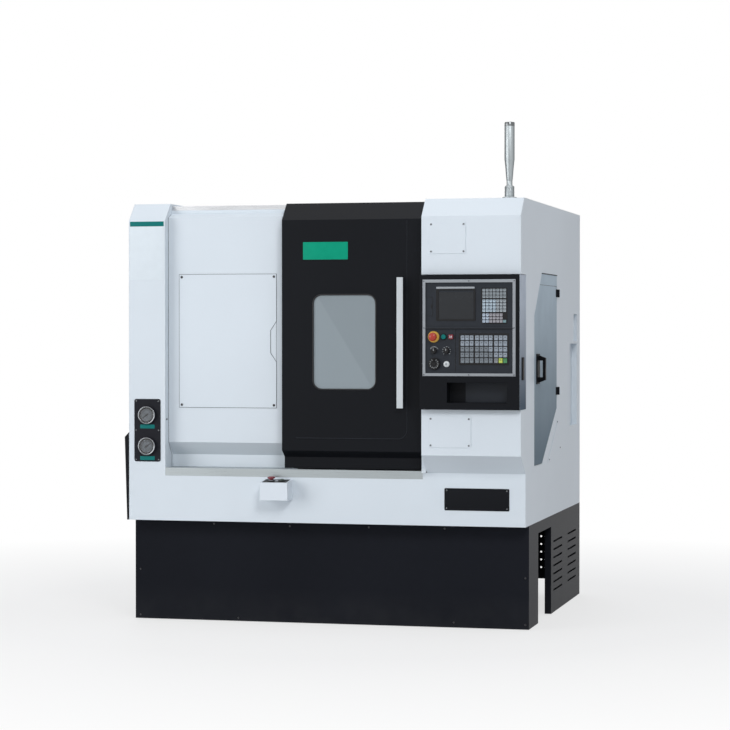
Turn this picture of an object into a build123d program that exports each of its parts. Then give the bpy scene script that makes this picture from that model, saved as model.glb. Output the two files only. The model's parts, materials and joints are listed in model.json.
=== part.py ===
from build123d import *
import os
from math import cos, radians, sin, tan

# CNC turning lathe with a slanted bed. Millimetres, +Z up, the front looks towards -Y.
# The origin is on the floor, under the middle of the whole machine.

os.makedirs("parts", exist_ok=True)

# Driving sizes of the enclosure
roof_height = 1900
plinth_height = 462
fold = 80  # rise and depth of the slope at the top of a column
sheet = 3
cover_sheet = 2

# Clearances
floor_gap = 4
seat_gap = 0.3
running_gap = 0.05
shut_gap = 2
overrun = 20  # how far a cut runs past the piece

# What reaches past the enclosure and so sets where the middle lies
side_cover_top = 21
hatch_handle_reach = 38
control_proud = 33
estop_reach = 35

# Slanted bed and the motor behind it, which set the enclosure's width and depth
headstock_bay = 701  # from the left wall to the bed
bed_length = 680
bed_end_gap = 7
left_column_width = 173
right_column_width = 440
spindle_setback = 600
spindle_height = 1000
bed_slope = 45
bed_drop = 230  # from the spindle axis down to the bed, square to the slope
bed_low_up = -190
bed_high_up = 330
bed_crest = 154
bed_back_chamfer = 100
motor_width = 270
rear_room = 164
slope_cos = cos(radians(bed_slope))
slope_sin = sin(radians(bed_slope))
bed_run = bed_high_up * slope_cos + bed_drop * slope_sin + bed_crest + bed_back_chamfer
body_width = headstock_bay + bed_length + bed_end_gap + right_column_width
body_depth = spindle_setback + bed_run + motor_width + rear_room

# Main planes
body_left = side_cover_top - (body_width + side_cover_top + hatch_handle_reach) / 2
body_right = body_left + body_width
mid_x = body_left + body_width / 2
column_front = control_proud + estop_reach - (body_depth + control_proud + estop_reach) / 2
rear_face = column_front + body_depth
apron_setback = 118
toe_setback = 87
panel_setback = 48
door_proud = 18
apron_front = column_front + apron_setback
plinth_front = apron_front + toe_setback
panel_front = apron_front + panel_setback
door_front = apron_front - door_proud
left_split = body_left + left_column_width
right_split = body_right - right_column_width
fold_height = roof_height - fold
mid_roof_drop = 30
mid_roof_height = roof_height - mid_roof_drop
seam_height = 695  # top of the apron under the two columns
bed_start = body_left + headstock_bay
spindle_y = column_front + spindle_setback

CORNER = (Align.MIN, Align.MIN, Align.MIN)


def front_plane(y):
    """Sketch plane at depth y seen from the front: X right, Z up, extrusions come forwards."""
    return Plane.XZ.offset(-y)


def side_plane(x):
    """Sketch plane at x: Y to the back, Z up, extrusions go to the right."""
    return Plane.YZ.offset(x)


def bed_plane(x):
    """Section of the bed at x, centred on the spindle axis: first up the slope, then off the bed."""
    return Plane(origin=(x, spindle_y, spindle_height), x_dir=(0, slope_cos, slope_sin), z_dir=(1, 0, 0))


def slope_point(up, off):
    """Depth and height of a point given up the slope and off the bed from the spindle axis."""
    return (spindle_y + up * slope_cos - off * slope_sin, spindle_height + up * slope_sin + off * slope_cos)


def shifted(points, dy):
    """The points of a side profile moved back by dy, in the opposite order."""
    return [(y + dy, z) for y, z in reversed(points)]


def keep(piece, label):
    """Label a finished piece and write it to its own file."""
    piece.part.label = label
    export_step(piece.part, f"parts/{label}.step")


# Machine base: a cast slab, the headstock pedestal and the slanted bed in one piece
foot_height = 60
slab_thickness = 140
slab_side_gap = 214
slab_setback = 260
slab_back_gap = 84
slab_width = body_width - 2 * slab_side_gap
slab_depth = body_depth - slab_setback - slab_back_gap
slab_front = column_front + slab_setback
slab_top = foot_height + slab_thickness
bed_low = slope_point(bed_low_up, -bed_drop)
bed_high = slope_point(bed_high_up, -bed_drop)
bed_back = bed_high[0] + bed_crest + bed_back_chamfer
bed_web = 410
bed_wall = bed_back - bed_web
bed_undercut = bed_low[1] - (bed_wall - bed_low[0])
pedestal_length = 410
pedestal_inset = 40
pedestal_drop = 240  # below the spindle axis
pedestal_step_back = 300
pedestal_top = spindle_height - pedestal_drop
pedestal_step = spindle_y + pedestal_step_back
pedestal_front = slab_front + pedestal_inset
crest_back = (bed_high[0] + bed_crest, bed_high[1])
crest_low = (bed_back, bed_high[1] - bed_back_chamfer)
step_height = bed_low[1] + (pedestal_step - bed_low[0]) * tan(radians(bed_slope))

with BuildPart() as machine_base:
    with Locations((mid_x - slab_width / 2, slab_front, foot_height)):
        Box(slab_width, slab_depth, slab_thickness, align=CORNER)
    with BuildSketch(side_plane(bed_start)):
        with BuildLine():
            Polyline(
                bed_low, bed_high, crest_back, crest_low, (bed_back, slab_top),
                (bed_wall, slab_top), (bed_wall, bed_undercut), close=True,
            )
        make_face()
    extrude(amount=bed_length)
    with BuildSketch(side_plane(bed_start - pedestal_length)):
        with BuildLine():
            Polyline(
                (pedestal_front, slab_top), (pedestal_front, pedestal_top), (pedestal_step, pedestal_top),
                (pedestal_step, step_height), bed_high, crest_back, crest_low, (bed_back, slab_top),
                close=True,
            )
        make_face()
    extrude(amount=pedestal_length)
keep(machine_base, "machine_base")

# Levelling feet: pad, nut and stem under the slab
foot_inset = 70
foot_pad_radius = 55
foot_pad_height = 18
foot_nut_radius = 28
foot_nut_sides = 6
foot_nut_height = 14
foot_stem_radius = 15
foot_pad_sides = 12
foot_rows = 2
foot_columns = 3
slab_mid_y = slab_front + slab_depth / 2
foot_pitch_x = (slab_width - 2 * foot_inset) / (foot_columns - 1)
foot_pitch_y = (slab_depth - 2 * foot_inset) / (foot_rows - 1)

with BuildPart() as levelling_feet:
    for radius, sides, low, high in (
        (foot_pad_radius, foot_pad_sides, 0, foot_pad_height),
        (foot_stem_radius, foot_nut_sides, 0, foot_height),
        (foot_nut_radius, foot_nut_sides, foot_height - foot_nut_height, foot_height),
    ):
        with BuildSketch(Plane.XY.offset(low)):
            with Locations((mid_x, slab_mid_y)):
                with GridLocations(foot_pitch_x, foot_pitch_y, foot_columns, foot_rows):
                    RegularPolygon(radius, sides)
        extrude(amount=high - low)
keep(levelling_feet, "levelling_feet")

# Front skirt: one folded sheet with the chip slot in its right return
skirt_return = 244
slot_width = 356
slot_top_strip = 52
slot_height = plinth_height - slot_top_strip
slot_front = plinth_front + skirt_return
slot_back = slot_front + slot_width

with BuildPart() as front_skirt:
    with BuildSketch(Plane.XY.offset(floor_gap)):
        with BuildLine():
            Polyline(
                (body_left, slot_front), (body_left, plinth_front), (body_right, plinth_front),
                (body_right, slot_back),
            )
            offset(amount=sheet, side=Side.LEFT, kind=Kind.INTERSECTION)
        make_face()
    extrude(amount=plinth_height - floor_gap)
    with Locations((body_right - sheet - overrun, slot_front, 0)):
        Box(sheet + 2 * overrun, slot_width + overrun, slot_height, align=CORNER, mode=Mode.SUBTRACT)
keep(front_skirt, "front_skirt")

# Left and rear skirt: one folded sheet, raised at the back, with a field of vent holes
rear_lift = 75
vent_radius = 5
vent_sides = 8
vent_pitch_x = 22
vent_pitch_z = 39
vent_columns = 4
vent_rows = 5
vent_from_right = 183
vent_height = 210

with BuildPart() as rear_skirt:
    with BuildSketch(Plane.XY.offset(floor_gap)):
        with BuildLine():
            Polyline((body_left, slot_front), (body_left, rear_face), (body_right - sheet, rear_face))
            offset(amount=sheet, side=Side.RIGHT, kind=Kind.INTERSECTION)
        make_face()
    extrude(amount=plinth_height - floor_gap)
    with Locations((body_left + sheet, rear_face - sheet - overrun, 0)):
        Box(body_width, sheet + 2 * overrun, rear_lift, align=CORNER, mode=Mode.SUBTRACT)
    with BuildSketch(front_plane(rear_face + overrun)):
        with Locations((body_right - vent_from_right, vent_height)):
            with GridLocations(vent_pitch_x, vent_pitch_z, vent_columns, vent_rows):
                RegularPolygon(vent_radius, vent_sides)
    extrude(amount=2 * overrun + sheet, mode=Mode.SUBTRACT)
keep(rear_skirt, "rear_skirt")

# Louvred side panel: hooded slots in two columns, with a flange beside the chip slot
louvre_flange = 30
louvre_pitch = 38
louvre_rows = 7
louvre_low = 108
louvre_gap = 9
louvre_length = 256
louvre_front_inset = 69  # from the panel's front edge to the first column
louvre_back_inset = 496

with BuildPart() as louvre_panel:
    with BuildSketch(Plane.XY.offset(floor_gap)):
        with BuildLine():
            Polyline(
                (body_right - louvre_flange, slot_back), (body_right, slot_back), (body_right, rear_face),
            )
            offset(amount=sheet, side=Side.LEFT, kind=Kind.INTERSECTION)
        make_face()
    extrude(amount=plinth_height - floor_gap)
    louvre_heights = [louvre_low + row * louvre_pitch for row in range(louvre_rows)]
    with BuildSketch(side_plane(body_right - 2 * sheet)):
        for inset in (louvre_front_inset, louvre_back_inset):
            for height in louvre_heights:
                with Locations((slot_back + inset + louvre_length / 2, height)):
                    Rectangle(louvre_length, louvre_gap)
    extrude(amount=3 * sheet, mode=Mode.SUBTRACT)
keep(louvre_panel, "louvre_panel")

# Apron: the lower front, notched for the sill, with a flange back to the skirt
sill_drop = 29
sill_height = 36
sill_end_gap = 20
sill_bottom = seam_height - sill_drop
sill_top = sill_bottom + sill_height
sill_right = right_split - sill_end_gap

with BuildPart() as apron:
    with BuildSketch(front_plane(apron_front + sheet)):
        with BuildLine():
            Polyline(
                (body_left + sheet, plinth_height), (body_left + sheet, seam_height),
                (left_split, seam_height), (left_split, sill_bottom), (sill_right, sill_bottom),
                (sill_right, seam_height),
                (body_right - sheet, seam_height), (body_right - sheet, plinth_height), close=True,
            )
        make_face()
    extrude(amount=sheet)
    with Locations((body_left + sheet, apron_front, plinth_height)):
        Box(body_width - 2 * sheet, toe_setback + sheet, sheet, align=CORNER)
keep(apron, "apron")

# Sill: a stainless strip folded over the apron's top edge
panel_recess = 67  # how far the lower part of the left front panel steps back
sill_depth = panel_setback + panel_recess + sheet

with BuildPart() as sill_rail:
    with BuildSketch(side_plane(left_split)):
        with BuildLine():
            Polyline(
                (apron_front, sill_bottom), (apron_front, sill_top), (apron_front + sill_depth, sill_top)
            )
            offset(amount=sheet, side=Side.RIGHT, kind=Kind.INTERSECTION)
        make_face()
    extrude(amount=sill_right - left_split)
keep(sill_rail, "sill_rail")

# Left column: front, slope and roof strip in one sheet, with a cheek on its inner side
column_flange = 25
cheek_depth = 182
cheek_strip = 60

with BuildPart() as left_column:
    with BuildSketch(side_plane(body_left + sheet)):
        with BuildLine():
            Polyline(
                (rear_face, roof_height), (apron_front + fold, roof_height), (apron_front, fold_height),
                (apron_front, seam_height), (apron_front + column_flange, seam_height),
            )
            offset(amount=sheet, side=Side.LEFT, kind=Kind.INTERSECTION)
        make_face()
    extrude(amount=left_column_width - sheet)
    with BuildSketch(side_plane(left_split - sheet)):
        with BuildLine():
            Polyline(
                (apron_front, seam_height), (apron_front, fold_height), (apron_front + fold, roof_height),
                (rear_face - sheet, roof_height), (rear_face - sheet, roof_height - cheek_strip),
                (apron_front + cheek_depth, roof_height - cheek_strip),
                (apron_front + cheek_depth, seam_height), close=True,
            )
        make_face()
    extrude(amount=sheet)
keep(left_column, "left_column")

# Left side wall with the hole through which bar stock enters the spindle
bar_hole_radius = 60

with BuildPart() as left_side_wall:
    with BuildSketch(side_plane(body_left)):
        with BuildLine():
            Polyline(
                (apron_front, plinth_height), (apron_front, fold_height), (apron_front + fold, roof_height),
                (rear_face, roof_height), (rear_face, plinth_height), close=True,
            )
        make_face()
        with Locations((spindle_y, spindle_height)):
            Circle(bar_hole_radius, mode=Mode.SUBTRACT)
    extrude(amount=sheet)
keep(left_side_wall, "left_side_wall")

# Black cover on the left side, deeper at its top
side_cover_bottom = 10
side_cover_height = 399
side_cover_slope = 22
side_cover_length = 650

with BuildPart() as left_side_cover:
    with BuildSketch(front_plane(apron_front + side_cover_length)):
        with BuildLine():
            Polyline(
                (body_left, plinth_height), (body_left - side_cover_bottom, plinth_height),
                (body_left - side_cover_top, plinth_height + side_cover_height - side_cover_slope),
                (body_left, plinth_height + side_cover_height), close=True,
            )
        make_face()
    extrude(amount=side_cover_length)
keep(left_side_cover, "left_side_cover")

# Left front panel: folded at the top, stepped back under a slope at the bottom, with a jamb by the door
panel_top_drop = 15
panel_fold_drop = 20
panel_slope = 43
panel_foot = 56
panel_ledge_rise = 58
panel_overlap = 36  # how far the closed door covers it
door_end_gap = 6
door_width = 654
panel_top_height = mid_roof_height - panel_top_drop
panel_fold_height = panel_top_height - panel_fold_drop
panel_ledge_low = sill_top + panel_foot
panel_ledge_high = panel_ledge_low + panel_ledge_rise
door_right = right_split - door_end_gap
door_left = door_right - door_width
panel_right = door_left + panel_overlap
jamb_depth = 40
panel_profile = [
    (panel_front + panel_slope, panel_top_height), (panel_front, panel_fold_height),
    (panel_front, panel_ledge_high), (panel_front + panel_recess, panel_ledge_low),
    (panel_front + panel_recess, sill_top),
]

with BuildPart() as left_front_panel:
    with BuildSketch(side_plane(left_split)):
        with BuildLine():
            Polyline(*panel_profile)
            offset(amount=sheet, side=Side.LEFT, kind=Kind.INTERSECTION)
        make_face()
    extrude(amount=panel_right - left_split)
    with BuildSketch(side_plane(panel_right - sheet)):
        with BuildLine():
            Polyline(*panel_profile, *shifted(panel_profile, jamb_depth), close=True)
        make_face()
    extrude(amount=sheet)
keep(left_front_panel, "left_front_panel")

# Access cover on the left front panel, with a finger notch in its right edge
access_from_left = 52
access_from_right = 80
access_height = 603
access_place_share = 0.38
notch_depth = 28
notch_middle = 298.5  # above the cover's lower edge
notch_mouth = 183
notch_floor = 102
access_left = left_split + access_from_left
access_right = panel_right - access_from_right
access_low = panel_ledge_high + access_place_share * (panel_fold_height - panel_ledge_high - access_height)
notch_z = access_low + notch_middle

with BuildPart() as access_cover:
    with BuildSketch(front_plane(panel_front)):
        with BuildLine():
            Polyline(
                (access_left, access_low), (access_left, access_low + access_height),
                (access_right, access_low + access_height), (access_right, notch_z + notch_mouth / 2),
                (access_right - notch_depth, notch_z + notch_floor / 2),
                (access_right - notch_depth, notch_z - notch_floor / 2),
                (access_right, notch_z - notch_mouth / 2), (access_right, access_low), close=True,
            )
        make_face()
    extrude(amount=cover_sheet)
keep(access_cover, "access_cover")

# Roof between the two columns, with a lip down to the left front panel
roof_front = panel_front + panel_slope

with BuildPart() as roof_panel:
    with BuildSketch(side_plane(left_split)):
        with BuildLine():
            Polyline(
                (rear_face, mid_roof_height), (roof_front, mid_roof_height), (roof_front, panel_top_height)
            )
            offset(amount=sheet, side=Side.LEFT, kind=Kind.INTERSECTION)
        make_face()
    extrude(amount=right_split - left_split)
keep(roof_panel, "roof_panel")

# Rear wall, lower between the columns
with BuildPart() as rear_wall:
    with BuildSketch(front_plane(rear_face)):
        with BuildLine():
            Polyline(
                (body_left + sheet, plinth_height), (body_left + sheet, roof_height - sheet),
                (left_split, roof_height - sheet), (left_split, mid_roof_height - sheet),
                (right_split, mid_roof_height - sheet), (right_split, roof_height - sheet),
                (body_right - sheet, roof_height - sheet), (body_right - sheet, plinth_height), close=True,
            )
        make_face()
    extrude(amount=sheet)
keep(rear_wall, "rear_wall")

# Right column: one sheet folded round the niche of the control box, and the wall of the work area
ledge_rise = 83
control_height = 585
control_depth = 120  # behind the column's front
control_place_share = 0.44  # of the free height above the ledge
ledge_height = seam_height + ledge_rise
control_bottom = ledge_height + control_place_share * (fold_height - ledge_height - control_height)
control_top = control_bottom + control_height
niche_top = control_top + shut_gap
niche_back = column_front + control_depth
work_wall_back = 500  # behind the spindle axis
work_wall_foot = 38
work_wall_bottom = plinth_height + work_wall_foot
work_wall_y = spindle_y + work_wall_back

# A strip on its left wall stands in front of the closed door's edge
jamb_width = 20
jamb_rise = 20
jamb_lead = 21

with BuildPart() as right_column:
    with BuildSketch(side_plane(right_split)):
        with BuildLine():
            Polyline(
                (rear_face, roof_height), (column_front + fold, roof_height), (column_front, fold_height),
                (column_front, niche_top), (niche_back, niche_top), (niche_back, control_bottom),
                (column_front, control_bottom), (column_front, ledge_height), (apron_front, seam_height),
                (apron_front + column_flange, seam_height),
            )
            offset(amount=sheet, side=Side.LEFT, kind=Kind.INTERSECTION)
        make_face()
    extrude(amount=right_column_width - sheet)
    with BuildSketch(side_plane(right_split)):
        with BuildLine():
            Polyline(
                (column_front, ledge_height), (column_front, control_bottom), (niche_back, control_bottom),
                (niche_back, niche_top), (column_front, niche_top), (column_front, fold_height),
                (column_front + fold, roof_height), (rear_face - sheet, roof_height),
                (rear_face - sheet, roof_height - cheek_strip), (work_wall_y, roof_height - cheek_strip),
                (work_wall_y, work_wall_bottom), (apron_front + sheet, work_wall_bottom),
                (apron_front + sheet, seam_height), (apron_front, seam_height), close=True,
            )
        make_face()
    extrude(amount=sheet)
    with BuildSketch(Plane.XY.offset(seam_height + jamb_rise)):
        with Locations((right_split - jamb_width / 2, apron_front - jamb_lead)):
            Rectangle(jamb_width, sheet)
    extrude(amount=fold_height - seam_height - jamb_rise)
keep(right_column, "right_column")

# Right side wall: notched for the control box, open for the service door, with two recessed pans
hatch_setback = 338
hatch_depth = 624
hatch_low_gap = 23
hatch_top_gap = 318
hatch_top_cut = 200  # depth of the sloped corner at the top front
hatch_top_drop = 194
hatch_low_flat = 210
hatch_low_rise = 240
hatch_low = seam_height + hatch_low_gap
hatch_high = roof_height - hatch_top_gap
hatch_front = column_front + hatch_setback
hatch_back = hatch_front + hatch_depth
hatch_outline = [
    (hatch_front, hatch_low), (hatch_front + hatch_low_flat, hatch_low),
    (hatch_back, hatch_low + hatch_low_rise), (hatch_back, hatch_high),
    (hatch_front + hatch_top_cut, hatch_high), (hatch_front, hatch_high - hatch_top_drop),
]
pan_depth = 26
pan_back_inset = 98
upper_pan_length = 107
upper_pan_height = 135
upper_pan_drop = 630  # from the roof down to the pan's floor
lower_pan_length = 229
lower_pan_height = 400
pan_gap = 11
upper_pan_low = roof_height - upper_pan_drop
lower_pan_low = upper_pan_low - pan_gap - lower_pan_height
pans = (
    (upper_pan_length, upper_pan_height, upper_pan_low),
    (lower_pan_length, lower_pan_height, lower_pan_low),
)

with BuildPart() as right_side_wall:
    with BuildSketch(side_plane(body_right - sheet)):
        with BuildLine():
            Polyline(
                (apron_front, plinth_height), (apron_front, seam_height), (column_front, ledge_height),
                (column_front, control_bottom), (niche_back, control_bottom), (niche_back, niche_top),
                (column_front, niche_top), (column_front, fold_height), (column_front + fold, roof_height),
                (rear_face, roof_height), (rear_face, plinth_height), close=True,
            )
        make_face()
        with BuildLine():
            Polyline(*hatch_outline, close=True)
        make_face(mode=Mode.SUBTRACT)
    extrude(amount=sheet)
    for length, height, low in pans:
        back = rear_face - pan_back_inset
        with Locations((body_right - pan_depth - sheet, back - length - sheet, low - sheet)):
            Box(pan_depth + sheet, length + 2 * sheet, height + 2 * sheet, align=CORNER)
        with Locations((body_right - pan_depth, back - length, low)):
            Box(pan_depth, length, height, align=CORNER, mode=Mode.SUBTRACT)
keep(right_side_wall, "right_side_wall")

# Small screwed cover plates: two on the right column, one three-cornered on the side wall
upper_plate_inset = 34
upper_plate_gap = 91
upper_plate_width = 162
upper_plate_height = 136
lower_plate_inset = 32
lower_plate_gap = 35
lower_plate_width = 188
lower_plate_height = 134
column_plates = (
    (upper_plate_inset, niche_top + upper_plate_gap, upper_plate_width, upper_plate_height),
    (lower_plate_inset, ledge_height + lower_plate_gap, lower_plate_width, lower_plate_height),
)
gusset_top_gap = 23  # behind the service door's rear edge
gusset_top_rise = 183  # above the service door's lower edge
gusset_back_gap = 115
gusset_back_rise = 45
gusset_front_lead = 262  # in front of that edge
gusset_front_rise = -3

with BuildPart() as cover_plates:
    for inset, low, width, height in column_plates:
        with Locations((right_split + inset, column_front - cover_sheet, low)):
            Box(width, cover_sheet, height, align=CORNER)
    with BuildSketch(side_plane(body_right)):
        with BuildLine():
            Polyline(
                (hatch_back + gusset_top_gap, hatch_low + gusset_top_rise),
                (hatch_back + gusset_back_gap, hatch_low + gusset_back_rise),
                (hatch_back - gusset_front_lead, hatch_low + gusset_front_rise), close=True,
            )
        make_face()
    extrude(amount=cover_sheet)
keep(cover_plates, "cover_plates")

# Service door: a shallow pan that fills the hatch
hatch_pan = 18

with BuildPart() as service_door:
    with BuildSketch(side_plane(body_right - hatch_pan)):
        with BuildLine():
            Polyline(*hatch_outline, close=True)
        make_face()
        offset(amount=-shut_gap, kind=Kind.INTERSECTION)
    extrude(amount=hatch_pan)
    with BuildSketch(side_plane(body_right - hatch_pan)):
        with BuildLine():
            Polyline(*hatch_outline, close=True)
        make_face()
        offset(amount=-shut_gap - sheet, kind=Kind.INTERSECTION)
    extrude(amount=hatch_pan - sheet, mode=Mode.SUBTRACT)
keep(service_door, "service_door")

# Handle of the service door: a bow on a back plate
hatch_handle_inset = 49
hatch_handle_width = 69
hatch_handle_height = 135
hatch_handle_share = 0.682  # of the free height of the door's front edge
hatch_handle_plate = 6
hatch_handle_bow = 26
hatch_handle_bar = 12
hatch_edge_room = hatch_high - hatch_top_drop - hatch_low - hatch_handle_height
hatch_handle_low = hatch_low + hatch_handle_share * hatch_edge_room
hatch_handle_y = hatch_front + hatch_handle_inset
hatch_bow_y = hatch_handle_y + (hatch_handle_width - hatch_handle_bow) / 2
bow_out = body_right + hatch_handle_reach
bow_low = hatch_handle_low + hatch_handle_bar / 2
bow_high = hatch_handle_low + hatch_handle_height - hatch_handle_bar / 2
bow_foot = body_right + hatch_handle_plate

with BuildPart() as service_door_handle:
    with Locations((body_right, hatch_handle_y, hatch_handle_low)):
        Box(hatch_handle_plate, hatch_handle_width, hatch_handle_height, align=CORNER)
    with BuildSketch(front_plane(hatch_bow_y + hatch_handle_bow)):
        with BuildLine():
            Polyline(
                (bow_foot, bow_low), (bow_out, bow_low + hatch_handle_bar),
                (bow_out, bow_high - hatch_handle_bar), (bow_foot, bow_high),
                (bow_foot, bow_high - 2 * hatch_handle_bar),
                (bow_out - hatch_handle_bar, bow_high - 2 * hatch_handle_bar),
                (bow_out - hatch_handle_bar, bow_low + 2 * hatch_handle_bar),
                (bow_foot, bow_low + 2 * hatch_handle_bar), close=True,
            )
        make_face()
    extrude(amount=hatch_handle_bow)
keep(service_door_handle, "service_door_handle")

# Hinges of the service door: the wall leaves hold the pins, the door leaves turn on them
hinge_height = 36
hinge_knuckle = hinge_height / 3
hinge_radius = 7
hinge_sides = 12
hinge_pin_radius = 3.5
hinge_leaf = 4
hinge_wall_width = 54
hinge_door_width = 26
hinge_low_gap = 63
hinge_high_gap = 102
hinge_low = hatch_low + hatch_low_rise + hinge_low_gap
hinge_high = hatch_high - hinge_high_gap
hinge_x = body_right + hinge_radius
hinge_y = hatch_back
hinge_reach = hinge_radius + seat_gap

with BuildPart() as hinge_wall_leaves:
    for low in (hinge_low, hinge_high):
        with Locations((body_right, hinge_y + hinge_reach, low)):
            Box(hinge_leaf, hinge_wall_width - hinge_reach, hinge_height, align=CORNER)
        for knuckle_low in (low, low + 2 * hinge_knuckle):
            with Locations((body_right, hinge_y, knuckle_low)):
                Box(hinge_leaf, hinge_reach, hinge_knuckle, align=CORNER)
            with BuildSketch(Plane.XY.offset(knuckle_low)):
                with Locations((hinge_x, hinge_y)):
                    RegularPolygon(hinge_radius, hinge_sides)
            extrude(amount=hinge_knuckle)
        with BuildSketch(Plane.XY.offset(low)):
            with Locations((hinge_x, hinge_y)):
                Circle(hinge_pin_radius)
        extrude(amount=hinge_height)
keep(hinge_wall_leaves, "hinge_wall_leaves")

with BuildPart() as hinge_door_leaves:
    for low in (hinge_low, hinge_high):
        knuckle_low = low + hinge_knuckle + seat_gap
        with Locations((body_right, hinge_y - hinge_door_width, low)):
            Box(hinge_leaf, hinge_door_width - hinge_reach, hinge_height, align=CORNER)
        with Locations((body_right, hinge_y - hinge_reach, knuckle_low)):
            Box(hinge_leaf, hinge_reach, hinge_knuckle - 2 * seat_gap, align=CORNER)
        with BuildSketch(Plane.XY.offset(knuckle_low)):
            with Locations((hinge_x, hinge_y)):
                RegularPolygon(hinge_radius, hinge_sides)
        extrude(amount=hinge_knuckle - 2 * seat_gap)
        with BuildSketch(Plane.XY.offset(knuckle_low)):
            with Locations((hinge_x, hinge_y)):
                Circle(hinge_pin_radius + running_gap)
        extrude(amount=hinge_knuckle, mode=Mode.SUBTRACT)
keep(hinge_door_leaves, "hinge_door_leaves")

# Rail on the roof that carries the sliding door
door_rail_setback = 7
door_rail_width = 12
door_over_roof = 23
door_top_height = mid_roof_height + door_over_roof
door_rail_front = roof_front + door_rail_setback

with BuildPart() as door_top_rail:
    with Locations((left_split, door_rail_front, mid_roof_height)):
        Box(
            right_split - left_split, door_rail_width,
            door_top_height - sheet - seat_gap - mid_roof_height, align=CORNER,
        )
keep(door_top_rail, "door_top_rail")

# Sliding door: a folded leaf that hooks over its rail, with returns at both ends and a window
door_fold = 78
door_foot_gap = 4
door_foot = 51
door_ledge_rise = 30
door_recess = 45
door_return = 30
door_bottom = sill_top + door_foot_gap
door_ledge_low = door_bottom + door_foot
door_ledge_high = door_ledge_low + door_ledge_rise
door_hook = door_rail_front + door_rail_width + seat_gap
door_hook_gap = 6
door_hook_low = mid_roof_height + door_hook_gap
window_from_left = 144
window_width = 288
window_height = 421
window_place_share = 0.446  # of the free height of the door's flat front
window_corner = 40
window_lap = 16
window_thickness = 6
groove_width = 3
groove_depth = 1.2
groove_right = 81  # from the door's right edge
groove_left = 65
groove_rise = 51  # above the door's ledge
groove_corner = 40
groove_low = door_ledge_high + groove_rise
flat_height = door_top_height - door_fold - door_ledge_high
window_low = door_ledge_high + window_place_share * (flat_height - window_height)
window_x = door_left + window_from_left + window_width / 2
window_z = window_low + window_height / 2
door_profile = [
    (door_front + door_fold, door_top_height), (door_front, door_top_height - door_fold),
    (door_front, door_ledge_high), (door_front + door_recess, door_ledge_low),
    (door_front + door_recess, door_bottom),
]

with BuildPart() as door_leaf:
    with BuildSketch(side_plane(door_left)):
        with BuildLine():
            Polyline(
                (door_hook + sheet, door_hook_low), (door_hook + sheet, door_top_height), *door_profile,
            )
            offset(amount=sheet, side=Side.LEFT, kind=Kind.INTERSECTION)
        make_face()
    extrude(amount=door_width)
    for end in (door_left, door_right - sheet):
        with BuildSketch(side_plane(end)):
            with BuildLine():
                Polyline(*door_profile, *shifted(door_profile, door_return), close=True)
            make_face()
        extrude(amount=sheet)
    with BuildSketch(front_plane(door_front + sheet + overrun)):
        with Locations((window_x, window_z)):
            RectangleRounded(window_width, window_height, window_corner)
    extrude(amount=sheet + 2 * overrun, mode=Mode.SUBTRACT)
    groove_x = door_right - groove_right
    with BuildSketch(front_plane(door_front + groove_depth)):
        with BuildLine():
            Line((groove_x, door_top_height - door_fold), (groove_x, groove_low + groove_corner))
            JernArc((groove_x, groove_low + groove_corner), (0, -1), groove_corner, -90)
            Line((groove_x - groove_corner, groove_low), (door_left + groove_left, groove_low))
            offset(amount=groove_width, side=Side.LEFT, kind=Kind.INTERSECTION)
        make_face()
    extrude(amount=groove_depth, mode=Mode.SUBTRACT)
keep(door_leaf, "door_leaf")

with BuildPart() as door_window:
    with BuildSketch(front_plane(door_front + sheet + window_thickness)):
        with Locations((window_x, window_z)):
            RectangleRounded(window_width + 2 * window_lap, window_height + 2 * window_lap, window_corner)
    extrude(amount=window_thickness)
keep(door_window, "door_window")

# Pull handle of the sliding door: a flat bar on two posts
pull_width = 28
pull_length = 576
pull_place_share = 0.428  # of the free height of the door's flat front
pull_thickness = 10
pull_reach = 40
pull_post = 16
pull_post_inset = 40
pull_from_left = 535
pull_low = door_ledge_high + pull_place_share * (flat_height - pull_length)
pull_x = door_left + pull_from_left

with BuildPart() as door_handle:
    with Locations((pull_x, door_front - pull_reach, pull_low)):
        Box(pull_width, pull_thickness, pull_length, align=CORNER)
    post_y = door_front - pull_reach + pull_thickness
    for post_z in (pull_low + pull_post_inset, pull_low + pull_length - pull_post_inset - pull_post):
        with Locations((pull_x + (pull_width - pull_post) / 2, post_y, post_z)):
            Box(pull_post, pull_reach - pull_thickness, pull_post, align=CORNER)
keep(door_handle, "door_handle")

# Guard between the headstock and the work area, cut parallel to the bed
guard_hole = 95
guard_reach = 400  # behind the spindle axis
guard_off_bed = 70
guard_x = bed_start
guard_front = apron_front + sill_depth
guard_back = spindle_y + guard_reach
guard_edge = slope_point(0, guard_off_bed - bed_drop)
guard_rise = tan(radians(bed_slope))

with BuildPart() as headstock_guard:
    with BuildSketch(side_plane(guard_x)):
        with BuildLine():
            Polyline(
                (guard_front, guard_edge[1] + (guard_front - guard_edge[0]) * guard_rise),
                (guard_front, mid_roof_height - sheet), (guard_back, mid_roof_height - sheet),
                (guard_back, guard_edge[1] + (guard_back - guard_edge[0]) * guard_rise), close=True,
            )
        make_face()
        with Locations((spindle_y, spindle_height)):
            Circle(guard_hole, mode=Mode.SUBTRACT)
    extrude(amount=sheet)
keep(headstock_guard, "headstock_guard")

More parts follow.
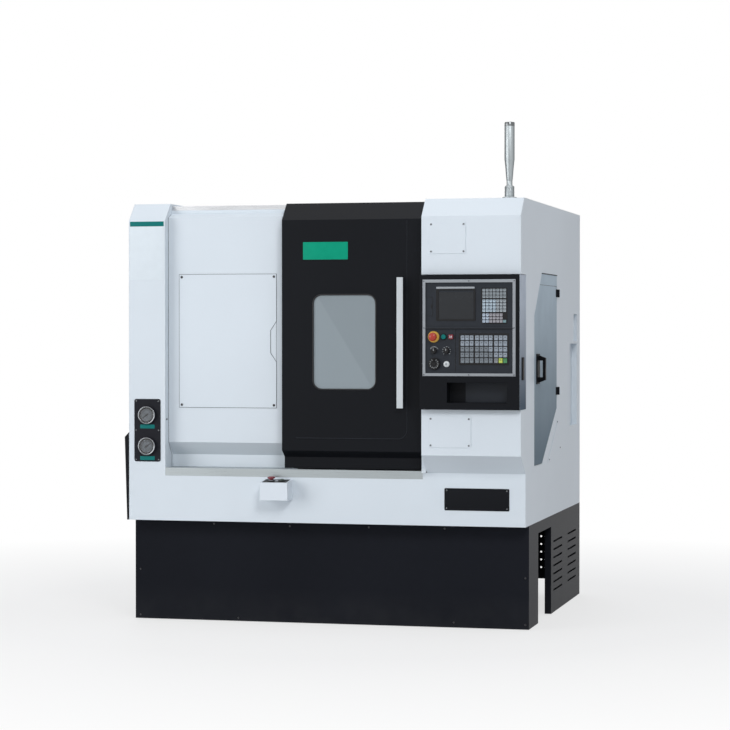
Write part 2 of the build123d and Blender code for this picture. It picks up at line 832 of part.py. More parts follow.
# Control box: a five-sided shell in the niche, with a panel window and a cubby under it
control_front = column_front - control_proud
bezel_inset = 13
bezel_right_gap = 17
bezel_rise = 145  # above the control box's lower edge
bezel_height = 419
bezel_frame = 13
bezel_bar = 8
bezel_thickness = 6
bezel_bevel = 2
bezel_bar_middle = 209  # above the bezel's lower edge
bezel_lap = 6  # how far the bezel covers the face plate
bezel_width = right_column_width - bezel_inset - bezel_right_gap
bezel_low = control_bottom + bezel_rise
plate_width = bezel_width - 2 * bezel_frame + 2 * bezel_lap
plate_height = bezel_height - 2 * bezel_frame + 2 * bezel_lap
bezel_x = right_split + bezel_inset + bezel_width / 2
bezel_z = bezel_low + bezel_height / 2
cubby_inset = 120
cubby_right_gap = 56
cubby_rise = 29
cubby_height = 89
cubby_depth = 70
port_setback = 62
port_width = 14
port_rise = 129
port_height = 98
cubby_width = right_column_width - cubby_inset - cubby_right_gap
cubby_low = control_bottom + cubby_rise
port_low = control_bottom + port_rise
cubby_x = right_split + cubby_inset

with BuildPart() as control_box:
    with Locations((right_split, control_front, control_bottom)):
        Box(right_column_width, control_proud + control_depth, control_height, align=CORNER)
    with Locations((right_split + sheet, control_front + sheet, control_bottom + sheet)):
        Box(
            right_column_width - 2 * sheet, control_proud + control_depth,
            control_height - 2 * sheet, align=CORNER, mode=Mode.SUBTRACT,
        )
    with Locations((cubby_x - sheet, control_front, cubby_low - sheet)):
        Box(cubby_width + 2 * sheet, cubby_depth + sheet, cubby_height + 2 * sheet, align=CORNER)
    with Locations((cubby_x, control_front - overrun, cubby_low)):
        Box(cubby_width, cubby_depth + overrun, cubby_height, align=CORNER, mode=Mode.SUBTRACT)
    with BuildSketch(front_plane(control_front + sheet + overrun)):
        with Locations((bezel_x, bezel_z)):
            Rectangle(plate_width, plate_height)
    extrude(amount=sheet + 2 * overrun, mode=Mode.SUBTRACT)
    with Locations((body_right - sheet - overrun, control_front + port_setback, port_low)):
        Box(sheet + 2 * overrun, port_width, port_height, align=CORNER, mode=Mode.SUBTRACT)
keep(control_box, "control_box")

with BuildPart() as control_bezel:
    with BuildSketch(front_plane(control_front)):
        with Locations((bezel_x, bezel_z)):
            Rectangle(bezel_width, bezel_height)
    extrude(amount=bezel_thickness)
    chamfer(control_bezel.faces().sort_by(Axis.Y)[0].edges(), length=bezel_bevel)
    lower_window = bezel_bar_middle - bezel_bar / 2 - bezel_frame
    upper_window = bezel_height - 2 * bezel_frame - bezel_bar - lower_window
    with BuildSketch(front_plane(control_front + overrun)):
        with Locations((bezel_x, bezel_low + bezel_frame + lower_window / 2)):
            Rectangle(bezel_width - 2 * bezel_frame, lower_window)
        with Locations((bezel_x, bezel_low + bezel_height - bezel_frame - upper_window / 2)):
            Rectangle(bezel_width - 2 * bezel_frame, upper_window)
    extrude(amount=bezel_thickness + 2 * overrun, mode=Mode.SUBTRACT)
keep(control_bezel, "control_bezel")

# Face plate behind the bezel, with the screen window and the holes of the operating parts
screen_inset = 79  # from the control box's left edge
screen_rise = 248  # above the bezel's lower edge
screen_width = 157
screen_height = 117
screen_x = right_split + screen_inset + screen_width / 2
screen_z = bezel_low + screen_rise + screen_height / 2
button_rise = 171
knob_rise = 110
dial_rise = 54
button_row = bezel_low + button_rise
knob_row = bezel_low + knob_rise
dial_row = bezel_low + dial_rise
estop_inset = 62
start_inset = 106
hold_inset = 139
mode_inset = 64
feed_inset = 119
dial_inset = 66
estop_place = (right_split + estop_inset, button_row)
start_place = (right_split + start_inset, button_row)
hold_place = (right_split + hold_inset, button_row)
mode_place = (right_split + mode_inset, knob_row)
feed_place = (right_split + feed_inset, knob_row)
dial_place = (right_split + dial_inset, dial_row)
estop_shank = 11
start_radius = 11
hold_size = 20
knob_shaft = 5
dial_shaft = 6
shaft_sides = 12
button_sides = 24

with BuildPart() as control_faceplate:
    with BuildSketch(front_plane(control_front + sheet)):
        with Locations((bezel_x, bezel_z)):
            Rectangle(plate_width, plate_height)
        with Locations((screen_x, screen_z)):
            Rectangle(screen_width, screen_height, mode=Mode.SUBTRACT)
        for place, radius, sides in (
            (estop_place, estop_shank, shaft_sides), (start_place, start_radius, button_sides),
        ):
            with Locations(place):
                RegularPolygon(radius + running_gap, sides, major_radius=False, mode=Mode.SUBTRACT)
        for place, radius in (
            (mode_place, knob_shaft), (feed_place, knob_shaft), (dial_place, dial_shaft),
        ):
            with Locations(place):
                Circle(radius + running_gap, mode=Mode.SUBTRACT)
        with Locations(hold_place):
            Rectangle(hold_size + 2 * seat_gap, hold_size + 2 * seat_gap, mode=Mode.SUBTRACT)
    extrude(amount=sheet)
keep(control_faceplate, "control_faceplate")

with BuildPart() as screen_glass:
    with BuildSketch(front_plane(control_front + sheet)):
        with Locations((screen_x, screen_z)):
            Rectangle(screen_width, screen_height)
    extrude(amount=sheet)
keep(screen_glass, "screen_glass")

# Keypads: two moulded pads with raised keys
pad_base = 1
key_rise = 2.5
key_share = 0.82  # of the pitch, so that a gap is left between keys
pad_margin = 7
group_gap = 4
mdi_from_right = 54
mdi_rise = 227
mdi_width = 114
mdi_height = 156
mdi_columns = (7,)
mdi_rows = (3, 4, 3)
operator_inset = 173
operator_from_right = 46
operator_rise = 49
operator_height = 137
operator_columns = (3, 4, 3)
operator_rows = (5,)
mdi_inset = right_column_width - mdi_from_right - mdi_width
operator_width = right_column_width - operator_inset - operator_from_right
pads = (
    (mdi_inset, mdi_rise, mdi_width, mdi_height, mdi_columns, mdi_rows),
    (operator_inset, operator_rise, operator_width, operator_height, operator_columns, operator_rows),
)


def key_row(groups, length):
    """Middles of the keys along a pad, with a wider gap between groups, and their pitch."""
    pitch = (length - 2 * pad_margin - group_gap * (len(groups) - 1)) / sum(groups)
    middles = []
    for gaps, count in enumerate(groups):
        for _ in range(count):
            middles.append(pad_margin + gaps * group_gap + (len(middles) + 1 / 2) * pitch - length / 2)
    return middles, pitch


with BuildPart() as keypads:
    for inset, rise, width, height, columns, rows in pads:
        key_columns, column_pitch = key_row(columns, width)
        key_rows, row_pitch = key_row(rows, height)
        pad_middle = (right_split + inset + width / 2, bezel_low + rise + height / 2)
        with BuildSketch(front_plane(control_front)):
            with Locations(pad_middle):
                Rectangle(width, height)
        extrude(amount=pad_base)
        with BuildSketch(front_plane(control_front - pad_base)):
            for across in key_columns:
                for up in key_rows:
                    with Locations((pad_middle[0] + across, pad_middle[1] + up)):
                        Rectangle(key_share * column_pitch, key_share * row_pitch)
        extrude(amount=key_rise)
keep(keypads, "keypads")

# Push buttons and knobs of the control box
estop_radius = 20
estop_head = 18
shank_depth = 25  # behind the face plate's front
start_rise = 10
hold_rise = 9
knob_radius = 13
knob_height = 18
dial_radius = 26
dial_height = 14
crank_radius = 5
crank_height = 16
crank_share = 0.62  # of the dial's radius

with BuildPart() as estop_button:
    with BuildSketch(front_plane(control_front + shank_depth)):
        with Locations(estop_place):
            RegularPolygon(estop_shank, shaft_sides)
    extrude(amount=shank_depth + estop_reach - estop_head)
    with BuildSketch(front_plane(control_front - estop_reach + estop_head)):
        with Locations(estop_place):
            RegularPolygon(estop_radius, button_sides)
    extrude(amount=estop_head)
keep(estop_button, "estop_button")

with BuildPart() as cycle_start_button:
    with BuildSketch(front_plane(control_front + shank_depth)):
        with Locations(start_place):
            RegularPolygon(start_radius, button_sides)
    extrude(amount=shank_depth + start_rise)
keep(cycle_start_button, "cycle_start_button")

with BuildPart() as feed_hold_button:
    with BuildSketch(front_plane(control_front + shank_depth)):
        with Locations(hold_place):
            Rectangle(hold_size, hold_size)
    extrude(amount=shank_depth + hold_rise)
keep(feed_hold_button, "feed_hold_button")

for label, place in (("mode_knob", mode_place), ("feed_knob", feed_place)):
    with BuildPart() as knob:
        with BuildSketch(front_plane(control_front + shank_depth)):
            with Locations(place):
                RegularPolygon(knob_shaft, shaft_sides)
        extrude(amount=shank_depth + knob_height)
        with BuildSketch(front_plane(control_front - seat_gap)):
            with Locations(place):
                RegularPolygon(knob_radius, shaft_sides)
        extrude(amount=knob_height - seat_gap)
        with BuildSketch(front_plane(control_front - knob_height)):
            with Locations(place):
                Rectangle(knob_radius / 2, 2 * knob_radius)
        extrude(amount=pad_base)
    keep(knob, label)

with BuildPart() as handwheel_dial:
    with BuildSketch(front_plane(control_front + shank_depth)):
        with Locations(dial_place):
            RegularPolygon(dial_shaft, shaft_sides)
    extrude(amount=shank_depth)
    with BuildSketch(front_plane(control_front - seat_gap)):
        with Locations(dial_place):
            RegularPolygon(dial_radius, button_sides)
    extrude(amount=dial_height)
    with BuildSketch(front_plane(control_front - seat_gap - dial_height)):
        with Locations((dial_place[0], dial_place[1] + crank_share * dial_radius)):
            RegularPolygon(crank_radius, shaft_sides)
    extrude(amount=crank_height)
    with BuildSketch(front_plane(control_front)):
        with Locations(dial_place):
            RegularPolygon(dial_shaft, shaft_sides)
    extrude(amount=seat_gap)
keep(handwheel_dial, "handwheel_dial")

# Gauge plate and the two pressure gauges on the left column
gauge_plate_inset = 26
gauge_plate_width = 125
gauge_plate_rise = 33  # above the column's lower edge
gauge_plate_height = 284
gauge_plate_corner = 10
gauge_radius = 41
gauge_depth = 16
gauge_rim = 5
gauge_recess = 4
gauge_sides = 30
lower_gauge_rise = 70
upper_gauge_rise = 211
gauge_plate_low = seam_height + gauge_plate_rise
gauge_heights = (gauge_plate_low + lower_gauge_rise, gauge_plate_low + upper_gauge_rise)
gauge_plate_x = body_left + gauge_plate_inset + gauge_plate_width / 2

with BuildPart() as gauge_plate:
    with BuildSketch(front_plane(apron_front)):
        with Locations((gauge_plate_x, gauge_plate_low + gauge_plate_height / 2)):
            RectangleRounded(gauge_plate_width, gauge_plate_height, gauge_plate_corner)
    extrude(amount=cover_sheet)
keep(gauge_plate, "gauge_plate")

with BuildPart() as pressure_gauges:
    with BuildSketch(front_plane(apron_front - cover_sheet)):
        for height in gauge_heights:
            with Locations((gauge_plate_x, height)):
                RegularPolygon(gauge_radius, gauge_sides)
    extrude(amount=gauge_depth)
    with BuildSketch(front_plane(apron_front - cover_sheet - gauge_depth + gauge_recess)):
        for height in gauge_heights:
            with Locations((gauge_plate_x, height)):
                RegularPolygon(gauge_radius - gauge_rim, gauge_sides)
    extrude(amount=gauge_recess, mode=Mode.SUBTRACT)
keep(pressure_gauges, "pressure_gauges")

# Button station on the apron: a sloped box with two push buttons square to its top
station_lead = 84  # to the left of the door
station_width = 127
station_drop = 128
station_front_height = 79
station_rise = 11
station_reach = 85
station_shank = 10
station_bore = 30
station_low = seam_height - station_drop
station_left = door_left - station_lead
station_top_front = station_low + station_front_height
station_middle_y = apron_front - station_reach / 2
station_middle_z = station_top_front + station_rise / 2
station_stop_inset = 42
station_start_inset = 90


def station_plane(inset):
    """Plane on the station's sloped top, at a place from its left side, looking out of the box."""
    return Plane(
        origin=(station_left + inset, station_middle_y, station_middle_z),
        x_dir=(1, 0, 0), z_dir=(0, -station_rise, station_reach),
    )


with BuildPart() as button_station:
    with BuildSketch(side_plane(station_left)):
        with BuildLine():
            Polyline(
                (apron_front, station_low), (apron_front - station_reach, station_low),
                (apron_front - station_reach, station_top_front),
                (apron_front, station_top_front + station_rise), close=True,
            )
        make_face()
    extrude(amount=station_width)
    for inset in (station_stop_inset, station_start_inset):
        with BuildSketch(station_plane(inset)):
            RegularPolygon(station_shank + running_gap, shaft_sides, major_radius=False)
        extrude(amount=-station_bore, mode=Mode.SUBTRACT)
keep(button_station, "button_station")

station_travel_room = 8
station_head_radius = 17
station_head_height = 12
station_start_rise = 9

with BuildPart() as station_stop:
    with BuildSketch(station_plane(station_stop_inset).offset(station_travel_room - station_bore)):
        RegularPolygon(station_shank, shaft_sides)
    extrude(amount=station_bore)
    with BuildSketch(station_plane(station_stop_inset).offset(station_travel_room)):
        RegularPolygon(station_head_radius, button_sides)
    extrude(amount=station_head_height)
keep(station_stop, "station_stop")

with BuildPart() as station_start:
    with BuildSketch(station_plane(station_start_inset).offset(station_travel_room - station_bore)):
        RegularPolygon(station_shank, shaft_sides)
    extrude(amount=station_bore + station_start_rise - station_travel_room)
keep(station_start, "station_start")

# Signal lamp on the right column's roof
lamp_from_right = 82
lamp_setback = 170
lamp_flange_radius = 32
lamp_flange_height = 8
lamp_socket_radius = 21
lamp_socket_height = 57
lamp_sides = 24
lamp_stem_radius = 13
lamp_stem_height = 79
lamp_taper_height = 172
lamp_head_radius = 22.5
lamp_height = 337
lamp_bevel = 5
lamp_plane = Plane(origin=(body_right - lamp_from_right, column_front + lamp_setback, roof_height))

with BuildPart() as lamp_mast:
    for radius, height in (
        (lamp_flange_radius, lamp_flange_height), (lamp_socket_radius, lamp_socket_height),
        (lamp_stem_radius, lamp_stem_height),
    ):
        with BuildSketch(lamp_plane):
            RegularPolygon(radius, lamp_sides)
        extrude(amount=height)
keep(lamp_mast, "lamp_mast")

with BuildPart() as lamp_head:
    with BuildSketch(lamp_plane.offset(lamp_stem_height)):
        RegularPolygon(lamp_head_radius, lamp_sides)
    extrude(amount=lamp_height - lamp_stem_height)
    foot_face = lamp_head.faces().sort_by(Axis.Z)[0]
    foot_taper = lamp_taper_height - lamp_stem_height
    chamfer(foot_face.edges(), lamp_head_radius - lamp_stem_radius, foot_taper, reference=foot_face)
    chamfer(lamp_head.faces().sort_by(Axis.Z)[-1].edges(), lamp_bevel)
keep(lamp_head, "lamp_head")

# Headstock: a cast housing on the pedestal with the spindle's bore
headstock_width = 340
headstock_top = 170  # above the spindle axis
headstock_bevel = 60
headstock_length = 400
journal_radius = 70
headstock_start = guard_x - headstock_length

with BuildPart() as headstock:
    with BuildSketch(side_plane(headstock_start)):
        with BuildLine():
            Polyline(
                (spindle_y - headstock_width / 2, pedestal_top),
                (spindle_y - headstock_width / 2, spindle_height + headstock_top - headstock_bevel),
                (spindle_y - headstock_width / 2 + headstock_bevel, spindle_height + headstock_top),
                (spindle_y + headstock_width / 2 - headstock_bevel, spindle_height + headstock_top),
                (spindle_y + headstock_width / 2, spindle_height + headstock_top - headstock_bevel),
                (spindle_y + headstock_width / 2, pedestal_top), close=True,
            )
        make_face()
        with Locations((spindle_y, spindle_height)):
            Circle(journal_radius + running_gap, mode=Mode.SUBTRACT)
    extrude(amount=headstock_length)
keep(headstock, "headstock")

# Spindle: nose flange, journal, belt pulley and chuck cylinder, bored through for bar stock
nose_radius = 84
nose_length = 7.5
bar_bore = 26
pulley_gap = 20
pulley_width = 45
pulley_radius = 95
cylinder_radius = 66
cylinder_length = 97
spindle_front = guard_x + seat_gap + nose_length
pulley_start = headstock_start - pulley_gap - pulley_width
cylinder_end = pulley_start - cylinder_length

with BuildPart() as spindle:
    with BuildSketch(Plane(origin=(0, spindle_y, spindle_height), x_dir=(1, 0, 0), z_dir=(0, -1, 0))):
        with BuildLine():
            Polyline(
                (spindle_front, bar_bore), (spindle_front, nose_radius),
                (spindle_front - nose_length, nose_radius), (spindle_front - nose_length, journal_radius),
                (pulley_start + pulley_width, journal_radius), (pulley_start + pulley_width, pulley_radius),
                (pulley_start, pulley_radius), (pulley_start, cylinder_radius),
                (cylinder_end, cylinder_radius), (cylinder_end, bar_bore), close=True,
            )
        make_face()
    revolve(axis=Axis((0, spindle_y, spindle_height), (1, 0, 0)))
keep(spindle, "spindle")

# Chuck body with three radial slots, and its jaws
chuck_radius = 105
chuck_length = 90
chuck_bore = 30
jaw_count = 3
jaw_first_angle = 90
jaw_width = 32
jaw_low = 48  # from the axis to the jaw's inner end
jaw_high = 96
jaw_seat = 34
jaw_reach = 44
jaw_step = 20
jaw_step_reach = 24
chuck_face = spindle_front + chuck_length

with BuildPart() as chuck_body:
    with BuildSketch(side_plane(spindle_front)):
        with Locations((spindle_y, spindle_height)):
            Circle(chuck_radius)
            Circle(chuck_bore, mode=Mode.SUBTRACT)
    extrude(amount=chuck_length)
    with BuildSketch(side_plane(chuck_face - jaw_seat - seat_gap)):
        with Locations((spindle_y, spindle_height)):
            with PolarLocations(0, jaw_count, start_angle=jaw_first_angle):
                with Locations((chuck_radius / 2 + chuck_bore / 2, 0)):
                    Rectangle(chuck_radius + chuck_bore, jaw_width + 2 * seat_gap)
    extrude(amount=jaw_seat + overrun, mode=Mode.SUBTRACT)
keep(chuck_body, "chuck_body")

for number in range(jaw_count):
    turn = radians(jaw_first_angle + number * 360 / jaw_count)
    jaw_plane = Plane(
        origin=(chuck_face - jaw_seat, spindle_y, spindle_height),
        x_dir=(0, cos(turn), sin(turn)), z_dir=(1, 0, 0),
    )
    with BuildPart() as chuck_jaw:
        with BuildSketch(jaw_plane):
            with Locations(((jaw_low + jaw_high) / 2, 0)):
                Rectangle(jaw_high - jaw_low, jaw_width)
        extrude(amount=jaw_seat + jaw_reach - jaw_step_reach)
        with BuildSketch(jaw_plane):
            with Locations(((jaw_low + jaw_high + jaw_step) / 2, 0)):
                Rectangle(jaw_high - jaw_low - jaw_step, jaw_width)
        extrude(amount=jaw_seat + jaw_reach)
    keep(chuck_jaw, f"chuck_jaw_{number + 1}")

# Spindle motor behind the pedestal, its pulley and the belt between the two pulleys
motor_bevel = 40
motor_length = 360
motor_low = 620
motor_shaft_radius = 21
motor_shaft_depth = 60
motor_pulley_radius = 76
motor_pulley_sides = 36
motor_flange_gap = 20
belt_thickness = 9
belt_inset = 4
motor_y = bed_back + motor_width / 2
motor_z = motor_low + motor_width / 2
motor_start = pulley_start + pulley_width + motor_flange_gap
fin_pitch = 45
fin_depth = 10
fin_width = 14
fin_count = 6
fin_start = 70

with BuildPart() as spindle_motor:
    with BuildSketch(side_plane(motor_start)):
        with Locations((motor_y, motor_z)):
            Rectangle(motor_width, motor_width)
        chamfer(vertices(), length=motor_bevel)
    extrude(amount=motor_length)
    with BuildSketch(side_plane(motor_start)):
        with Locations((motor_y, motor_z)):
            Circle(motor_shaft_radius + running_gap)
    extrude(amount=motor_shaft_depth, mode=Mode.SUBTRACT)
    for fin in range(fin_count):
        fin_x = motor_start + fin_start + fin * fin_pitch
        with Locations((fin_x, motor_y, motor_z + motor_width / 2 - fin_depth)):
            Box(
                fin_width, motor_width, fin_depth + overrun,
                align=(Align.MIN, Align.CENTER, Align.MIN), mode=Mode.SUBTRACT,
            )
keep(spindle_motor, "spindle_motor")

with BuildPart() as motor_pulley:
    with BuildSketch(side_plane(pulley_start)):
        with Locations((motor_y, motor_z)):
            RegularPolygon(motor_pulley_radius, motor_pulley_sides)
    extrude(amount=pulley_width)
    with BuildSketch(side_plane(pulley_start)):
        with Locations((motor_y, motor_z)):
            RegularPolygon(motor_shaft_radius, button_sides)
    extrude(amount=pulley_width + motor_flange_gap + motor_shaft_depth - seat_gap)
keep(motor_pulley, "motor_pulley")

with BuildPart() as drive_belt:
    for grow, kind in ((belt_thickness, Mode.ADD), (0, Mode.SUBTRACT)):
        with BuildSketch(side_plane(pulley_start + belt_inset)):
            with Locations((spindle_y, spindle_height)):
                Circle(pulley_radius + seat_gap + grow)
            with Locations((motor_y, motor_z)):
                Circle(motor_pulley_radius + seat_gap + grow)
            make_hull()
        extrude(amount=pulley_width - 2 * belt_inset, mode=kind)
keep(drive_belt, "drive_belt")

# Hydraulic unit on the slab, under the spindle motor: tank, pump motor and valve block
tank_width = 280
tank_length = 290
tank_height = 240
tank_gap = 20
pump_radius = 68
pump_height = 140
valve_size = 70
tank_left = bed_start - pedestal_length + tank_gap
tank_front = bed_back + tank_gap
tank_top = slab_top + tank_height

with BuildPart() as hydraulic_unit:
    with Locations((tank_left, tank_front, slab_top)):
        Box(tank_width, tank_length, tank_height, align=CORNER)
    with BuildSketch(Plane.XY.offset(tank_top)):
        with Locations((tank_left + pump_radius + tank_gap, tank_front + tank_length / 2)):
            RegularPolygon(pump_radius, button_sides)
    extrude(amount=pump_height)
    with Locations((tank_left + tank_width - valve_size - tank_gap, tank_front + tank_gap, tank_top)):
        Box(valve_size, valve_size, valve_size, align=CORNER)
keep(hydraulic_unit, "hydraulic_unit")

# Linear rails on the bed: two for the saddle up the slope, two for the tailstock below
rail_width = 35
rail_height = 30
rail_inset = 15
tail_rail_low = -165  # places of the rails up the slope from the spindle axis
tail_rail_high = -75
saddle_rail_low = 35
saddle_rail_high = 280
tail_rails = (tail_rail_low, tail_rail_high)
saddle_rails = (saddle_rail_low, saddle_rail_high)
rail_start = bed_start + rail_inset
rail_length = bed_length - 2 * rail_inset

with BuildPart() as bed_rails:
    with BuildSketch(bed_plane(rail_start)):
        for up in tail_rails + saddle_rails:
            with Locations((up, rail_height / 2 - bed_drop)):
                Rectangle(rail_width, rail_height)
    extrude(amount=rail_length)
keep(bed_rails, "bed_rails")


def rail_channels(ups):
    """Cut running channels over the rails that lie at these places up the slope."""
    for up in ups:
        with Locations((up, (rail_height + seat_gap) / 2 - bed_drop)):
            Rectangle(rail_width + 2 * seat_gap, rail_height + seat_gap, mode=Mode.SUBTRACT)


# Saddle: runs along the bed on the two upper rails and carries the cross slide's guide
saddle_lead = 273  # from the bed's left end
saddle_length = 180
saddle_low = 5
saddle_height = 95
saddle_up_low = 5
saddle_up_high = 315
guide_width = 90
guide_height = 20
saddle_start = bed_start + saddle_lead
saddle_top = saddle_low + saddle_height - bed_drop

with BuildPart() as saddle:
    with BuildSketch(bed_plane(saddle_start)):
        with Locations(((saddle_up_low + saddle_up_high) / 2, saddle_low + saddle_height / 2 - bed_drop)):
            Rectangle(saddle_up_high - saddle_up_low, saddle_height)
        rail_channels(saddle_rails)
    extrude(amount=saddle_length)
    with BuildSketch(bed_plane(saddle_start + (saddle_length - guide_width) / 2)):
        with Locations(((saddle_up_low + saddle_up_high) / 2, saddle_top + guide_height / 2)):
            Rectangle(saddle_up_high - saddle_up_low, guide_height)
    extrude(amount=guide_width)
keep(saddle, "saddle")

# Cross slide with the turret housing: runs up and down the slope on the saddle
slide_up_low = 120
slide_up_high = 330
slide_height = 48
turret_up = 230
housing_size = 170
housing_bevel = 25
turret_shaft = 40
turret_shaft_depth = 60
slide_low = saddle_top + seat_gap

with BuildPart() as cross_slide:
    with BuildSketch(bed_plane(saddle_start)):
        with Locations(((slide_up_low + slide_up_high) / 2, slide_low + slide_height / 2)):
            Rectangle(slide_up_high - slide_up_low, slide_height)
    extrude(amount=saddle_length)
    with BuildSketch(bed_plane(saddle_start)):
        with Locations((turret_up, 0)):
            Rectangle(housing_size, housing_size)
            chamfer(vertices(), length=housing_bevel)
    extrude(amount=saddle_length)
    with BuildSketch(bed_plane(saddle_start)):
        with Locations((turret_up, 0)):
            Circle(turret_shaft + running_gap)
    extrude(amount=turret_shaft_depth, mode=Mode.SUBTRACT)
    with BuildSketch(bed_plane(saddle_start + (saddle_length - guide_width) / 2 - seat_gap)):
        with Locations(((slide_up_low + slide_up_high) / 2, slide_low + guide_height / 2)):
            Rectangle(slide_up_high - slide_up_low + overrun, guide_height)
    extrude(amount=guide_width + 2 * seat_gap, mode=Mode.SUBTRACT)
keep(cross_slide, "cross_slide")

# Turret disc: eight stations, with a tool holder at every second one
disc_radius = 130
disc_width = 84
disc_sides = 8
holder_count = 4
holder_width = 44
holder_rise = 40
holder_sink = 25
disc_start = saddle_start - seat_gap - disc_width

with BuildPart() as turret_disc:
    with BuildSketch(bed_plane(disc_start)):
        with Locations((turret_up, 0)):
            RegularPolygon(disc_radius, disc_sides, major_radius=False)
    extrude(amount=disc_width)
    with BuildSketch(bed_plane(disc_start + (disc_width - holder_width) / 2)):
        with Locations((turret_up, 0)):
            with PolarLocations(disc_radius + (holder_rise - holder_sink) / 2, holder_count):
                Rectangle(holder_rise + holder_sink, holder_width)
    extrude(amount=holder_width)
    with BuildSketch(bed_plane(disc_start)):
        with Locations((turret_up, 0)):
            RegularPolygon(turret_shaft, button_sides)
    extrude(amount=disc_width + turret_shaft_depth)
keep(turret_disc, "turret_disc")

# Tailstock: runs on the two lower rails, with a quill on the spindle axis
tailstock_from_end = 137
tailstock_length = 120
tailstock_foot_low = -185
tailstock_foot_high = -55
tailstock_low = 5
tailstock_shoulder = 110  # above the bed
tailstock_half = 58
quill_radius = 35
quill_out = 60
quill_tip = 36
quill_point = 2
quill_land = 2
quill_sides = 24
quill_back = 90
tailstock_start = bed_start + bed_length - tailstock_from_end

with BuildPart() as tailstock_body:
    with BuildSketch(bed_plane(tailstock_start)):
        with BuildLine():
            Polyline(
                (tailstock_foot_low, tailstock_low - bed_drop),
                (tailstock_foot_high, tailstock_low - bed_drop),
                (tailstock_foot_high, tailstock_shoulder - bed_drop), (tailstock_half, -tailstock_half),
                (tailstock_half, tailstock_half), (-tailstock_half, tailstock_half),
                (tailstock_foot_low, tailstock_shoulder - bed_drop), close=True,
            )
        make_face()
        rail_channels(tail_rails)
        Circle(quill_radius + running_gap, mode=Mode.SUBTRACT)
    extrude(amount=tailstock_length)
keep(tailstock_body, "tailstock_body")

with BuildPart() as tailstock_quill:
    with BuildSketch(bed_plane(tailstock_start - quill_out)):
        Circle(quill_radius)
    extrude(amount=quill_out + quill_back)
    with BuildSketch(bed_plane(tailstock_start - quill_out)):
        RegularPolygon(quill_tip / 2, quill_sides)
    extrude(amount=-quill_tip)
    point_face = tailstock_quill.faces().sort_by(Axis.X)[0]
    chamfer(point_face.edges(), quill_tip / 2 - quill_point, quill_tip - quill_land, reference=point_face)
keep(tailstock_quill, "tailstock_quill")
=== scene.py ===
"""Finishes, fine parts, floor, light and camera of an enclosed slant-bed turning lathe.

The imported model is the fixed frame. Lengths in this file are millimetres in that frame
unless a name says otherwise, and they become metres where a mesh is made.
"""

from __future__ import annotations

import json
import logging
import math
from collections.abc import Callable, Iterable, Sequence
from dataclasses import dataclass
from enum import Enum

import bmesh
import bpy
from mathutils import Matrix, Vector

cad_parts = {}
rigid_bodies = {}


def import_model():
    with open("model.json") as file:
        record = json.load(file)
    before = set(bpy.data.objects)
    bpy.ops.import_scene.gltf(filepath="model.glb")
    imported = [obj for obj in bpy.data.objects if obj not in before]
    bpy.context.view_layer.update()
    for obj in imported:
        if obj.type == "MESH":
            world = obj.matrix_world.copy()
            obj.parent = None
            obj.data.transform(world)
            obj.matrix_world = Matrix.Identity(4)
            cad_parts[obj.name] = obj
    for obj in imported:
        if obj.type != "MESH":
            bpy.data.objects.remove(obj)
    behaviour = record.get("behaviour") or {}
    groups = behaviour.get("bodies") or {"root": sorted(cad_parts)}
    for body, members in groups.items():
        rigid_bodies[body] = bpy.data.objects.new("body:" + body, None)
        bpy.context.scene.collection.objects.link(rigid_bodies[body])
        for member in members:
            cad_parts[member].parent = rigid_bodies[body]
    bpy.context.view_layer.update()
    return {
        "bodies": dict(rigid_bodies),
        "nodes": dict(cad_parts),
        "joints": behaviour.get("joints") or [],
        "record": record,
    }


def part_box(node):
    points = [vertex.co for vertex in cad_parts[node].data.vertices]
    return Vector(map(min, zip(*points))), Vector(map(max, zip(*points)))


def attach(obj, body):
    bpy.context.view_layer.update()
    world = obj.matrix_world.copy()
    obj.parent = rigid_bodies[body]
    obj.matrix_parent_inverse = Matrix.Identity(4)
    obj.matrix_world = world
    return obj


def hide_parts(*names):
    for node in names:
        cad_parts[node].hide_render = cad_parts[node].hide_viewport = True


LOG = logging.getLogger("turning_lathe")
MM = 0.001
SMOOTH_ANGLE = math.radians(35)
MERGE_REACH = 1e-6

Colour = tuple[float, float, float]
Point = tuple[float, float]
Place = tuple[float, float, float]
Box = tuple[float, float, float, float]
Profile = tuple[Point, ...]
Sheet = tuple[float, float, float]

DUST_COLOUR: Colour = (0.32, 0.32, 0.31)


# Node trees


